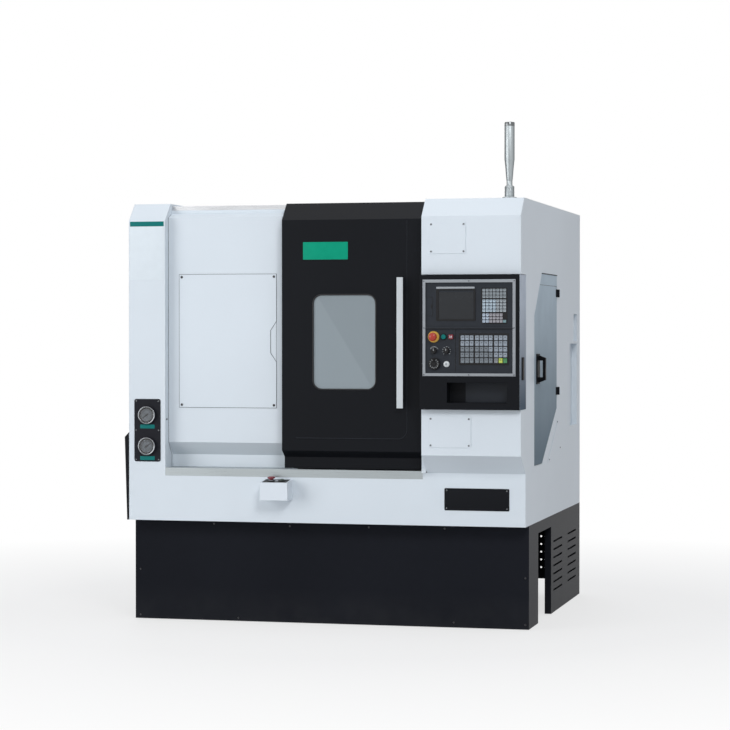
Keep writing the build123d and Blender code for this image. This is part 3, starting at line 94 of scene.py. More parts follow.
class Wiring:
    """Short calls that add and join the nodes of one tree."""

    def __init__(self, tree: bpy.types.NodeTree) -> None:
        """Keep the tree that nodes are added to."""
        self.tree = tree

    def node(
        self, kind: str, inputs: dict[str | int, object] | None = None, **settings: object
    ) -> bpy.types.Node:
        """Add a node.

        Args:
            kind: The node's type.
            inputs: Values or sockets for its inputs, by name or number.
            settings: Properties of the node.

        Returns:
            The new node.
        """
        made = self.tree.nodes.new(kind)
        for label, value in settings.items():
            setattr(made, label, value)
        self.join(made, inputs or {})
        return made

    def out(
        self, kind: str, inputs: dict[str | int, object] | None = None, **settings: object
    ) -> bpy.types.NodeSocket:
        """Add a node in the same way and give its first output."""
        return self.node(kind, inputs, **settings).outputs[0]

    def join(self, made: bpy.types.Node, inputs: dict[str | int, object]) -> None:
        """Set or link a node's inputs.

        Args:
            made: The node.
            inputs: Values or sockets for its inputs, by name or number.
        """
        for label, value in inputs.items():
            if isinstance(value, bpy.types.NodeSocket):
                self.tree.links.new(value, made.inputs[label])
            else:
                made.inputs[label].default_value = value

    def math(self, operation: str, first: object, second: object) -> bpy.types.NodeSocket:
        """Add a Math node on two numbers or sockets and give its result."""
        return self.out("ShaderNodeMath", {0: first, 1: second}, operation=operation)

    def seen(self) -> bpy.types.NodeSocket:
        """Tell what the camera sees, straight, mirrored or through glass.

        Returns:
            1 for such a ray and 0 for any other.
        """
        path = self.node("ShaderNodeLightPath").outputs
        straight = self.math("MAXIMUM", path["Is Camera Ray"], path["Is Transmission Ray"])
        return self.math("MAXIMUM", straight, path["Is Glossy Ray"])


class ShaderTree(Wiring):
    """A material with one Principled shader, and the textures that the finishes share."""

    def __init__(self, name: str) -> None:
        """Start a material.

        Args:
            name: The material's name.
        """
        self.material = bpy.data.materials.new(name)
        self.material.use_nodes = True
        super().__init__(self.material.node_tree)
        self.shader = self.tree.nodes["Principled BSDF"]

    def feed(self, inputs: dict[str, object]) -> bpy.types.Material:
        """Set or link the Principled shader's sockets by name and give the material."""
        self.join(self.shader, inputs)
        return self.material

    def place(self, stretch: Place = (1.0, 1.0, 1.0)) -> bpy.types.NodeSocket:
        """Give Object coordinates in metres, times a stretch on each axis."""
        coordinates = self.node("ShaderNodeTexCoord").outputs["Object"]
        return self.out("ShaderNodeMapping", {"Vector": coordinates, "Scale": stretch})

    def noise(self, place: bpy.types.NodeSocket, scale: float, detail: float = 2.0) -> bpy.types.NodeSocket:
        """Add a noise texture with so many waves in a metre and give its value round a half."""
        return self.out("ShaderNodeTexNoise", {"Vector": place, "Scale": scale, "Detail": detail})

    def span(self, value: object, low: float, high: float, start: float, end: float) -> bpy.types.NodeSocket:
        """Carry a value from the span low to high over to the span start to end, without leaving it."""
        inputs = {0: value, 1: low, 2: high, 3: start, 4: end}
        return self.out("ShaderNodeMapRange", inputs, clamp=True)

    def mix(self, share: object, first: object, second: object) -> bpy.types.NodeSocket:
        """Mix two colours, each four numbers or a socket, by the second one's share."""
        return self.node("ShaderNodeMix", {0: share, 6: first, 7: second}, data_type="RGBA").outputs[2]

    def swing(
        self, value: bpy.types.NodeSocket, low: float, high: float, colour: Colour, tones: Point
    ) -> bpy.types.NodeSocket:
        """Vary a colour between two tones as a value goes from low to high."""
        return self.mix(self.span(value, low, high, 0.0, 1.0), *(tone(colour, factor) for factor in tones))

    def bump(
        self, height: bpy.types.NodeSocket, strength: float, depth: float, normal: object = None
    ) -> bpy.types.NodeSocket:
        """Add a bump.

        Args:
            height: The socket that gives the height.
            strength: How much of it counts.
            depth: Its depth in millimetres.
            normal: A normal that it starts from.

        Returns:
            The bumped normal.
        """
        inputs = {"Strength": strength, "Distance": depth * MM, "Height": height}
        if normal is not None:
            inputs["Normal"] = normal
        return self.out("ShaderNodeBump", inputs)

    def soft_edge(self, radius: float) -> tuple[bpy.types.NodeSocket, bpy.types.NodeSocket]:
        """Round the edges that light falls on.

        Args:
            radius: The edge's radius in millimetres.

        Returns:
            The rounded normal, and a value that is 1 on edges and 0 on faces.
        """
        rounded = self.out("ShaderNodeBevel", {"Radius": radius * MM}, samples=6)
        flat = self.node("ShaderNodeNewGeometry").outputs["Normal"]
        alike = self.node("ShaderNodeVectorMath", {0: rounded, 1: flat}, operation="DOT_PRODUCT")
        return rounded, self.span(alike.outputs["Value"], 0.86, 0.995, 1.0, 0.0)


def tone(colour: Colour, factor: float) -> tuple[float, float, float, float]:
    """Multiply a linear colour by a factor and give four values for a colour socket."""
    return (*(min(value * factor, 1.0) for value in colour), 1.0)


# Finishes


@dataclass(frozen=True)
class Finish:
    """What every finish has: a name, which is the record's slot where there is one, and a colour."""

    label: str
    colour: Colour

    def material(self) -> bpy.types.Material:
        """Build the finish's material."""
        raise NotImplementedError


@dataclass(frozen=True)
class PowderCoat(Finish):
    """Sprayed and baked paint: a slow drift of tone, fine orange peel, and edges lightened partly where it wears thin
    and partly by a painted highlight.
    """

    spread: float = 0.025
    gloss: float = 0.4
    roughness: Point = (0.37, 0.45)
    edge_highlight_and_wear_tone: float = 1.05
    dust: float = 0.0
    dust_height: float = 160.0

    def material(self) -> bpy.types.Material:
        """Build the paint, with dust near the floor where the finish has some."""
        tree = ShaderTree(self.label)
        place = tree.place()
        drift = tree.noise(place, 1.4, 3.0)
        fleck = tree.noise(place, 420.0)
        both = tree.math("ADD", tree.math("MULTIPLY", drift, 0.75), tree.math("MULTIPLY", fleck, 0.25))
        paint = tree.swing(both, 0.36, 0.64, self.colour, (1 - self.spread, 1 + self.spread))
        rounded, edge = tree.soft_edge(1.4)
        # Edges lighten in patches: partly worn paint, partly a painted highlight where light would catch them.
        edge_wear_and_highlight = tree.math("MULTIPLY", edge, tree.span(tree.noise(place, 24.0), 0.35, 0.65, 0.2, 0.9))
        paint = tree.mix(edge_wear_and_highlight, paint, tone(self.colour, self.edge_highlight_and_wear_tone))
        if self.dust:
            height = tree.node("ShaderNodeSeparateXYZ", {0: tree.place()}).outputs[2]
            low = tree.span(height, 0.0, self.dust_height * MM, self.dust, 0.0)
            patchy = tree.math("MULTIPLY", low, tree.span(tree.noise(place, 9.0, 5.0), 0.3, 0.7, 0.2, 1.0))
            paint = tree.mix(patchy, paint, tone(DUST_COLOUR, 1.0))
        peel = tree.bump(tree.noise(place, 520.0, 1.0), 0.16, 0.05, rounded)
        return tree.feed({
            "Base Color": paint, "Normal": peel, "Specular IOR Level": self.gloss,
            "Roughness": tree.span(tree.noise(place, 210.0), 0.3, 0.7, *self.roughness),
        })


class Grain(Enum):
    """The way that a brushed metal's lines run."""

    ALONG_X = (5.0, 1100.0, 1100.0)
    ALONG_Z = (1100.0, 1100.0, 5.0)


@dataclass(frozen=True)
class BrushedMetal(Finish):
    """Metal with fine lines along one axis."""

    grain: Grain = Grain.ALONG_X
    roughness: Point = (0.24, 0.42)
    spread: float = 0.09

    def material(self) -> bpy.types.Material:
        """Build the metal, with its lines in colour, roughness and bump."""
        tree = ShaderTree(self.label)
        lines = tree.noise(tree.place(self.grain.value), 1.0, 3.0)
        cloud = tree.noise(tree.place(), 6.0)
        rounded, edge = tree.soft_edge(0.9)
        metal = tree.swing(lines, 0.3, 0.7, self.colour, (1 - self.spread, 1 + self.spread))
        metal = tree.mix(tree.span(cloud, 0.4, 0.75, 0.0, 0.25), metal, tone(self.colour, 0.82))
        # Painted highlight: the edges are lightened in the colour.
        metal = tree.mix(tree.math("MULTIPLY", edge, 0.5), metal, tone(self.colour, 1.25))
        return tree.feed({
            "Base Color": metal, "Metallic": 1.0, "Roughness": tree.span(lines, 0.25, 0.75, *self.roughness),
            "Normal": tree.bump(lines, 0.12, 0.03, rounded),
        })


@dataclass(frozen=True)
class SatinSheet(Finish):
    """Dull coated sheet with faint upright rolling lines, and painted shade that darkens it towards its foot."""

    shaded_foot_colour: Colour = (0.1, 0.1, 0.1)
    heights: Point = (0.0, 1000.0)
    gloss: float = 0.03

    def material(self) -> bpy.types.Material:
        """Build the sheet."""
        tree = ShaderTree(self.label)
        place = tree.place()
        lines = tree.noise(tree.place(Grain.ALONG_Z.value), 1.0, 3.0)
        height = tree.node("ShaderNodeSeparateXYZ", {0: place}).outputs[2]
        # Painted shade: the colour falls from the sheet's own tone to the shaded foot colour between the two heights.
        fall = tree.span(height, self.heights[0] * MM, self.heights[1] * MM, 1.0, 0.0)
        rounded, edge = tree.soft_edge(0.9)
        sheet = tree.mix(fall, tone(self.colour, 1.0), tone(self.shaded_foot_colour, 1.0))
        sheet = tree.mix(tree.span(lines, 0.3, 0.7, 0.0, 0.12), sheet, tone(self.colour, 1.25))
        cloud = tree.noise(place, 5.0, 3.0)
        sheet = tree.mix(tree.span(cloud, 0.4, 0.7, 0.0, 0.15), sheet, tone(self.shaded_foot_colour, 1.0))
        # Painted highlight: the edges are lightened in the colour.
        sheet = tree.mix(tree.math("MULTIPLY", edge, 0.4), sheet, tone(self.colour, 1.5))
        return tree.feed({
            "Base Color": sheet, "Specular IOR Level": self.gloss,
            "Roughness": tree.span(lines, 0.3, 0.7, 0.5, 0.62), "Normal": tree.bump(lines, 0.08, 0.03, rounded),
        })


@dataclass(frozen=True)
class BandedChrome(Finish):
    """Plated tube round an upright axis, with long bright and dark bands of painted reflection in its colour."""

    axis: Point = (823.5, -638.0)
    bright_angle: float = -76.0
    dark_tone: float = 0.3

    def material(self) -> bpy.types.Material:
        """Build the metal, with bands of painted reflection set by the angle round the axis."""
        tree = ShaderTree(self.label)
        place = tree.place()
        parts = tree.node("ShaderNodeSeparateXYZ", {0: place}).outputs
        across, deep = (tree.math("SUBTRACT", parts[side], self.axis[side] * MM) for side in (0, 1))
        # Painted reflection: dark bands away from the bright angle and a dark line at it, painted into the colour.
        turn = tree.math("SUBTRACT", tree.math("ARCTAN2", deep, across), math.radians(self.bright_angle))
        wave = tree.math("COSINE", tree.math("MULTIPLY", turn, 2.0), 0.0)
        line = tree.span(tree.math("ABSOLUTE", turn, 0.0), 0.05, 0.13, 0.45, 0.0)
        shade = tree.math("MAXIMUM", tree.span(wave, -0.8, 0.4, 1.0, 0.0), line)
        haze = tree.noise(place, 60.0, 3.0)
        rounded, _ = tree.soft_edge(0.5)
        return tree.feed({
            "Base Color": tree.mix(shade, tone(self.colour, 1.0), tone(self.colour, self.dark_tone)), "Metallic": 1.0,
            "Roughness": tree.span(haze, 0.3, 0.7, 0.4, 0.5), "Normal": rounded,
        })


@dataclass(frozen=True)
class PolishedMetal(Finish):
    """Plated or polished metal with faint haze and wiping marks."""

    roughness: Point = (0.06, 0.2)

    def material(self) -> bpy.types.Material:
        """Build the metal."""
        tree = ShaderTree(self.label)
        place = tree.place()
        haze = tree.noise(place, 60.0, 4.0)
        rounded, _ = tree.soft_edge(0.5)
        return tree.feed({
            "Base Color": tree.swing(haze, 0.35, 0.65, self.colour, (0.92, 1.05)), "Metallic": 1.0,
            "Roughness": tree.span(haze, 0.3, 0.7, *self.roughness),
            "Normal": tree.bump(tree.noise(place, 240.0), 0.04, 0.02, rounded),
        })


@dataclass(frozen=True)
class CastPaint(Finish):
    """Thick paint on a sand casting: lumps, pits and a dull shine."""

    def material(self) -> bpy.types.Material:
        """Build the painted casting."""
        tree = ShaderTree(self.label)
        place = tree.place()
        lumps = tree.noise(place, 70.0, 6.0)
        rounded, edge = tree.soft_edge(3.0)
        paint = tree.swing(lumps, 0.3, 0.7, self.colour, (0.85, 1.12))
        # Painted highlight: the edges are lightened in the colour.
        paint = tree.mix(tree.math("MULTIPLY", edge, 0.6), paint, tone(self.colour, 1.5))
        return tree.feed({
            "Base Color": paint, "Roughness": tree.span(lumps, 0.3, 0.7, 0.38, 0.6),
            "Normal": tree.bump(lumps, 0.35, 0.5, rounded),
        })


@dataclass(frozen=True)
class MouldedPlastic(Finish):
    """Moulded plastic or rubber with a fine leathery grain."""

    roughness: Point = (0.4, 0.55)
    grain: float = 0.12
    gloss: float = 0.35
    coat: float = 0.0
    spread: float = 0.06

    def material(self) -> bpy.types.Material:
        """Build the plastic."""
        tree = ShaderTree(self.label)
        place = tree.place()
        cloud = tree.noise(place, 30.0, 3.0)
        grain = tree.node("ShaderNodeTexVoronoi", {"Vector": place, "Scale": 900.0}).outputs["Distance"]
        rounded, edge = tree.soft_edge(0.7)
        body = tree.swing(cloud, 0.35, 0.65, self.colour, (1 - self.spread, 1 + self.spread))
        # Painted highlight: the edges are lightened in the colour.
        body = tree.mix(tree.math("MULTIPLY", edge, 0.35), body, tone(self.colour, 1.35))
        return tree.feed({
            "Base Color": body, "Specular IOR Level": self.gloss, "Coat Weight": self.coat, "Coat Roughness": 0.08,
            "Roughness": tree.span(cloud, 0.3, 0.7, *self.roughness),
            "Normal": tree.bump(grain, self.grain, 0.06, rounded),
        })


@dataclass(frozen=True)
class KeyCaps(Finish):
    """Moulded key caps, each in the colour that the key's own attribute gives."""

    attribute: str = "tint"

    def material(self) -> bpy.types.Material:
        """Build the key plastic."""
        tree = ShaderTree(self.label)
        place = tree.place()
        cap = tree.node("ShaderNodeAttribute", attribute_name=self.attribute).outputs["Color"]
        grime = tree.span(tree.noise(place, 140.0, 3.0), 0.4, 0.75, 0.0, 0.16)
        rounded, _ = tree.soft_edge(0.4)
        return tree.feed({
            "Base Color": tree.mix(grime, cap, tone(self.colour, 1.0)),
            "Roughness": tree.span(tree.noise(place, 90.0), 0.3, 0.7, 0.38, 0.55),
            "Normal": tree.bump(tree.noise(place, 1200.0), 0.1, 0.03, rounded),
        })


@dataclass(frozen=True)
class TintedPane(Finish):
    """Tinted safety glass whose tint steps along a slanted line as a painted reflection, with faint film haze."""

    slant: Place = (0.851, 0.0, 0.525)
    edge: Point = (0.744, 0.752)
    spread: float = 0.05
    clear_share: float = 0.2
    roughness: Point = (0.05, 0.12)

    def material(self) -> bpy.types.Material:
        """Build the glass."""
        tree = ShaderTree(self.label)
        place = tree.place()
        # Painted reflection: the tint is lighter on one side of a slanted line, with faint film haze added.
        along = tree.node("ShaderNodeVectorMath", {0: place, 1: self.slant}, operation="DOT_PRODUCT").outputs["Value"]
        film = tree.noise(place, 5.0, 3.0)
        deep = tree.math("ADD", tree.span(along, *self.edge, 0.0, 0.85), tree.math("MULTIPLY", film, 0.15))
        return tree.feed({
            "Base Color": tree.mix(deep, tone(self.colour, 1 + self.spread), tone(self.colour, 1 - self.spread)),
            "Roughness": tree.span(film, 0.3, 0.7, *self.roughness), "Transmission Weight": self.clear_share,
            "IOR": 1.5, "Normal": tree.bump(tree.noise(place, 14.0), 0.02, 0.2),
        })


@dataclass(frozen=True)
class DisplayPane(Finish):
    """A dark display behind a smooth front, with a faint line structure."""

    def material(self) -> bpy.types.Material:
        """Build the display."""
        tree = ShaderTree(self.label)
        lines = tree.noise(tree.place((40.0, 1.0, 1800.0)), 1.0)
        cloud = tree.noise(tree.place(), 7.0)
        cell = tree.swing(lines, 0.3, 0.7, self.colour, (0.85, 1.15))
        return tree.feed({
            "Base Color": tree.mix(tree.span(cloud, 0.3, 0.7, 0.0, 0.5), cell, tone(self.colour, 1.3)),
            "Roughness": tree.span(cloud, 0.3, 0.7, 0.2, 0.3), "Specular IOR Level": 0.25,
        })


@dataclass(frozen=True)
class BeltRubber(Finish):
    """Belt rubber with ribs along its run."""

    def material(self) -> bpy.types.Material:
        """Build the rubber."""
        tree = ShaderTree(self.label)
        ribs = tree.node(
            "ShaderNodeTexWave", {"Vector": tree.place(), "Scale": 90.0, "Distortion": 0.2}, bands_direction="X"
        ).outputs["Fac"]
        cloud = tree.noise(tree.place(), 40.0)
        return tree.feed({
            "Base Color": tree.mix(ribs, tone(self.colour, 0.7), tone(self.colour, 1.3)),
            "Roughness": tree.span(cloud, 0.3, 0.7, 0.6, 0.8), "Normal": tree.bump(ribs, 0.4, 0.6),
        })


FINISHES: tuple[Finish, ...] = (
    PowderCoat("white_paint", (0.705, 0.765, 0.815), gloss=0.2),
    PowderCoat("station_white", (0.75, 0.805, 0.86), gloss=0.2),
    PowderCoat("black_paint", (0.0062, 0.0071, 0.0094), spread=0.08, gloss=0.09, edge_highlight_and_wear_tone=3.2),
    PowderCoat("plinth_paint", (0.0122, 0.0134, 0.0176), spread=0.1, gloss=0.025, edge_highlight_and_wear_tone=2.2, dust=0.03),
    PowderCoat("grey_paint", (0.30, 0.32, 0.34), edge_highlight_and_wear_tone=1.2),
    CastPaint("cast_base", (0.16, 0.18, 0.18)),
    BrushedMetal("ground_steel", (0.55, 0.56, 0.58), roughness=(0.2, 0.36)),
    BrushedMetal("stainless", (0.36, 0.395, 0.41)),
    BrushedMetal("upright_steel", (0.50, 0.54, 0.57), grain=Grain.ALONG_Z),
    SatinSheet("cheek_satin", (0.62, 0.675, 0.755), shaded_foot_colour=(0.016, 0.046, 0.084), heights=(1000.0, 1440.0)),
    SatinSheet("hatch_satin", (0.58, 0.68, 0.75), shaded_foot_colour=(0.115, 0.165, 0.205), heights=(760.0, 1560.0)),
    BandedChrome("lamp_chrome", (0.37, 0.405, 0.42)),
    PolishedMetal("lamp_rib", (0.16, 0.17, 0.175), roughness=(0.22, 0.34)),
    PolishedMetal("chrome", (0.60, 0.62, 0.64)),
    PolishedMetal("gauge_chrome", (0.24, 0.25, 0.265), roughness=(0.05, 0.14)),
    BrushedMetal("aluminium", (0.265, 0.285, 0.31), roughness=(0.34, 0.48)),
    MouldedPlastic("black_plastic", (0.010, 0.010, 0.011), gloss=0.2),
    MouldedPlastic("plate_black", (0.012, 0.0125, 0.017), gloss=0.1),
    MouldedPlastic("dull_black", (0.006, 0.0065, 0.008), gloss=0.03),
    MouldedPlastic("panel_grey", (0.017, 0.0205, 0.027), grain=0.2, gloss=0.2),
    KeyCaps("key_grey", (0.16, 0.17, 0.17)),
    MouldedPlastic("red_plastic", (0.40, 0.034, 0.018), roughness=(0.22, 0.34), grain=0.03, coat=0.2),
    MouldedPlastic("maroon_plastic", (0.19, 0.022, 0.034), roughness=(0.24, 0.36), grain=0.03, coat=0.2),
    MouldedPlastic("green_plastic", (0.003, 0.31, 0.185), roughness=(0.34, 0.46), grain=0.03, gloss=0.1, spread=0.03),
    MouldedPlastic("teal_print", (0.008, 0.165, 0.155), roughness=(0.4, 0.5), grain=0.03, gloss=0.1, spread=0.03),
    MouldedPlastic("dark_green_plastic", (0.012, 0.032, 0.022), roughness=(0.24, 0.36), grain=0.03, coat=0.2),
    MouldedPlastic("yellow_plastic", (0.62, 0.36, 0.06), roughness=(0.3, 0.42), grain=0.04),
    MouldedPlastic("white_plastic", (0.62, 0.65, 0.66), roughness=(0.28, 0.42), grain=0.05, gloss=0.5),
    MouldedPlastic("card_stock", (0.72, 0.785, 0.83), roughness=(0.46, 0.56), grain=0.02, spread=0.012),
    MouldedPlastic("dial_face", (0.16, 0.178, 0.205), roughness=(0.4, 0.5), grain=0.05),
    MouldedPlastic("dark_rubber", (0.016, 0.016, 0.017), roughness=(0.55, 0.7), grain=0.3),
    MouldedPlastic("seam_shadow", (0.05, 0.058, 0.068), roughness=(0.6, 0.75), grain=0.1, gloss=0.1),
    MouldedPlastic("groove_highlight", (0.032, 0.036, 0.043), roughness=(0.5, 0.65), grain=0.1, gloss=0.1),
    PolishedMetal("black_screw", (0.07, 0.07, 0.075), roughness=(0.25, 0.4)),
    PolishedMetal("zinc_screw", (0.20, 0.21, 0.22), roughness=(0.18, 0.32)),
    DisplayPane("screen", (0.020, 0.022, 0.025)),
    TintedPane("window", (0.31, 0.365, 0.395)),
    TintedPane("gauge_glass", (0.8, 0.82, 0.83), spread=0.01, clear_share=1.0, roughness=(0.0, 0.02)),
    BeltRubber("belt", (0.02, 0.02, 0.02)),
)

NODE_FINISHES: dict[str, str] = {
    "front_skirt": "plinth_paint", "rear_skirt": "plinth_paint", "louvre_panel": "plinth_paint",
    "door_handle": "upright_steel", "service_door": "hatch_satin", "service_door_handle": "dull_black",
    "button_station": "station_white", "gauge_plate": "plate_black",
}


class Palette:
    """The materials of all finishes, by name."""

    def __init__(self, finishes: Iterable[Finish]) -> None:
        """Build every finish once."""
        self.materials = {finish.label: finish.material() for finish in finishes}

    def __getitem__(self, label: str) -> bpy.types.Material:
        """Give a finish's material."""
        return self.materials[label]

    def dress_nodes(self, frame: dict) -> None:
        """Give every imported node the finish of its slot, or its own.
        """
        for row in frame["record"]["subparts"]:
            material = self[NODE_FINISHES.get(row["node"], row["material_slot"])]
            piece = frame["nodes"][row["node"]]
            if not piece.material_slots:
                piece.data.materials.append(material)
            for slot in piece.material_slots:
                slot.material = material


# Meshes


class Facing(Enum):
    """The side that a piece looks at, as its own three axes: across, up and out."""

    FRONT = ((1, 0, 0), (0, 0, 1), (0, -1, 0))
    RIGHT = ((0, 1, 0), (0, 0, 1), (1, 0, 0))
    LEFT = ((0, -1, 0), (0, 0, 1), (-1, 0, 0))
    REAR = ((-1, 0, 0), (0, 0, 1), (0, 1, 0))
    UP = ((1, 0, 0), (0, 1, 0), (0, 0, 1))
    STATION = ((1, 0, 0), (0, 0.99173, 0.12834), (0, -0.12834, 0.99173))

    @property
    def out(self) -> Vector:
        """Give the direction away from the surface."""
        return Vector(self.value[2])

    def at(self, x: float, y: float, z: float) -> Matrix:
        """Give the matrix from a piece's own millimetres, its origin at this place, to the frame's metres."""
        turn = Matrix([Vector(axis) for axis in self.value]).transposed().to_4x4()
        return Matrix.Translation(Vector((x, y, z)) * MM) @ turn @ Matrix.Scale(MM, 4)


def front_of(node: str) -> float:
    """Give the Y of a node's front."""
    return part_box(node)[0].y / MM


def right_of(node: str) -> float:
    """Give the X of a node's right side."""
    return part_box(node)[1].x / MM


def span_of(node: str) -> tuple[Vector, Vector]:
    """Give a node's lowest and highest corners."""
    low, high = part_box(node)
    return Vector(low) / MM, Vector(high) / MM


def rounded_rectangle(width: float, height: float, corner: float, steps: int = 5) -> list[Point]:
    """Draw a rectangle with round corners about its middle.

    Args:
        width: Its width.
        height: Its height.
        corner: The corners' radius.
        steps: The parts of each corner.

    Returns:
        Its points, turning left.
    """
    points = []
    for turn, (side, rise) in enumerate(((1, 1), (-1, 1), (-1, -1), (1, -1))):
        for step in range(steps + 1):
            angle = math.pi / 2 * (turn + step / steps)
            points.append((
                side * (width / 2 - corner) + corner * math.cos(angle),
                rise * (height / 2 - corner) + corner * math.sin(angle),
            ))
    return points


def box_outline(box: Box, corner: float) -> list[Point]:
    """Draw a rounded rectangle where a box stands.

    Args:
        box: Its left, right, low and high sides.
        corner: The corners' radius.

    Returns:
        Its points, turning left.
    """
    left, right, low, high = box
    middle = (left + right) / 2, (low + high) / 2
    return [(x + middle[0], z + middle[1]) for x, z in rounded_rectangle(right - left, high - low, corner)]


def corner_seats(box: Box, front: float, inset: float) -> list[tuple[Place, Facing]]:
    """Give screw seats near the corners of a front.

    Args:
        box: Its left, right, low and high sides.
        front: Its Y.
        inset: The seats' distance from its sides.

    Returns:
        Four seats that face the front.
    """
    left, right, low, high = box
    return [
        ((x, front, z), Facing.FRONT) for x in (left + inset, right - inset) for z in (low + inset, high - inset)
    ]


def settle(name: str, shape: bmesh.types.BMesh) -> bpy.types.Object:
    """Turn a built shape into an object at the origin.

    Args:
        name: The object's name.
        shape: The shape in metres, freed here.

    Returns:
        The object.
    """
    bmesh.ops.remove_doubles(shape, verts=shape.verts, dist=MERGE_REACH)
    bmesh.ops.recalc_face_normals(shape, faces=shape.faces)
    mesh = bpy.data.meshes.new(name)
    shape.to_mesh(mesh)
    shape.free()
    mesh.shade_smooth()
    mesh.set_sharp_from_angle(angle=SMOOTH_ANGLE)
    piece = bpy.data.objects.new(name, mesh)
    bpy.context.scene.collection.objects.link(piece)
    return piece


def turned(name: str, profile: Sequence[Point], places: Sequence[Matrix], steps: int = 56) -> bpy.types.Object:
    """Turn a profile round its axis, once at each place.

    Args:
        name: The piece's name.
        profile: Radius and height, from the axis to the axis or back to its first point.
        places: Where the axis stands.
        steps: The parts of the turn.

    Returns:
        The piece.
    """
    shape = bmesh.new()
    for place in places:
        corners = [shape.verts.new((radius, 0, height)) for radius, height in profile]
        runs = [shape.edges.new(pair) for pair in zip(corners, corners[1:])]
        bmesh.ops.spin(shape, geom=corners + runs, cent=(0, 0, 0), axis=(0, 0, 1), angle=math.tau, steps=steps)
        fresh = {corner for face in shape.faces if not face.tag for corner in face.verts}
        for face in shape.faces:
            face.tag = True
        for corner in fresh:
            corner.co = place @ corner.co
        bmesh.ops.delete(shape, geom=[v for v in shape.verts if not v.link_faces], context="VERTS")
    return settle(name, shape)


def plates(
    name: str, outline: Sequence[Point], thickness: float, places: Sequence[Matrix], edge: float = 0.0
) -> bpy.types.Object:
    """Cut plates from one outline.

    Args:
        name: The piece's name.
        outline: The outline's points, turning left.
        thickness: The plates' thickness.
        places: Where each plate's back stands.
        edge: The radius of the front edge.

    Returns:
        The piece.
    """
    whole = bmesh.new()
    for place in places:
        shape = bmesh.new()
        base = shape.faces.new([shape.verts.new((x, y, 0)) for x, y in outline])
        grown = bmesh.ops.extrude_face_region(shape, geom=[base], use_keep_orig=True)["geom"]
        top = [part for part in grown if isinstance(part, bmesh.types.BMVert)]
        bmesh.ops.translate(shape, verts=top, vec=(0, 0, thickness))
        bmesh.ops.recalc_face_normals(shape, faces=shape.faces)
        if edge:
            rim = [e for e in shape.edges if all(abs(v.co.z - thickness) < MERGE_REACH for v in e.verts)]
            bmesh.ops.bevel(shape, geom=rim, offset=edge, segments=3, profile=0.5, affect="EDGES")
        shape.transform(place)
        scratch = bpy.data.meshes.new("scratch")
        shape.to_mesh(scratch)
        shape.free()
        whole.from_mesh(scratch)
        bpy.data.meshes.remove(scratch)
    return settle(name, whole)


def rim_plate(
    name: str, outer: Sequence[Point], inner: Sequence[Point], thickness: float, place: Matrix
) -> bpy.types.Object:
    """Cut a flat ring between two outlines.

    Args:
        name: The piece's name.
        outer: The outer outline.
        inner: The inner outline, with as many points.
        thickness: The ring's thickness.
        place: Where its back stands.

    Returns:
        The piece.
    """
    shape = bmesh.new()
    loops = [
        [shape.verts.new((x, y, height)) for x, y in outline]
        for outline, height in ((outer, 0), (outer, thickness), (inner, thickness), (inner, 0))
    ]
    for first, second in zip(loops, loops[1:] + loops[:1]):
        for step in range(len(outer)):
            after = (step + 1) % len(outer)
            shape.faces.new((first[step], first[after], second[after], second[step]))
    shape.transform(place)
    return settle(name, shape)


# Node recipes for what repeats or follows a path


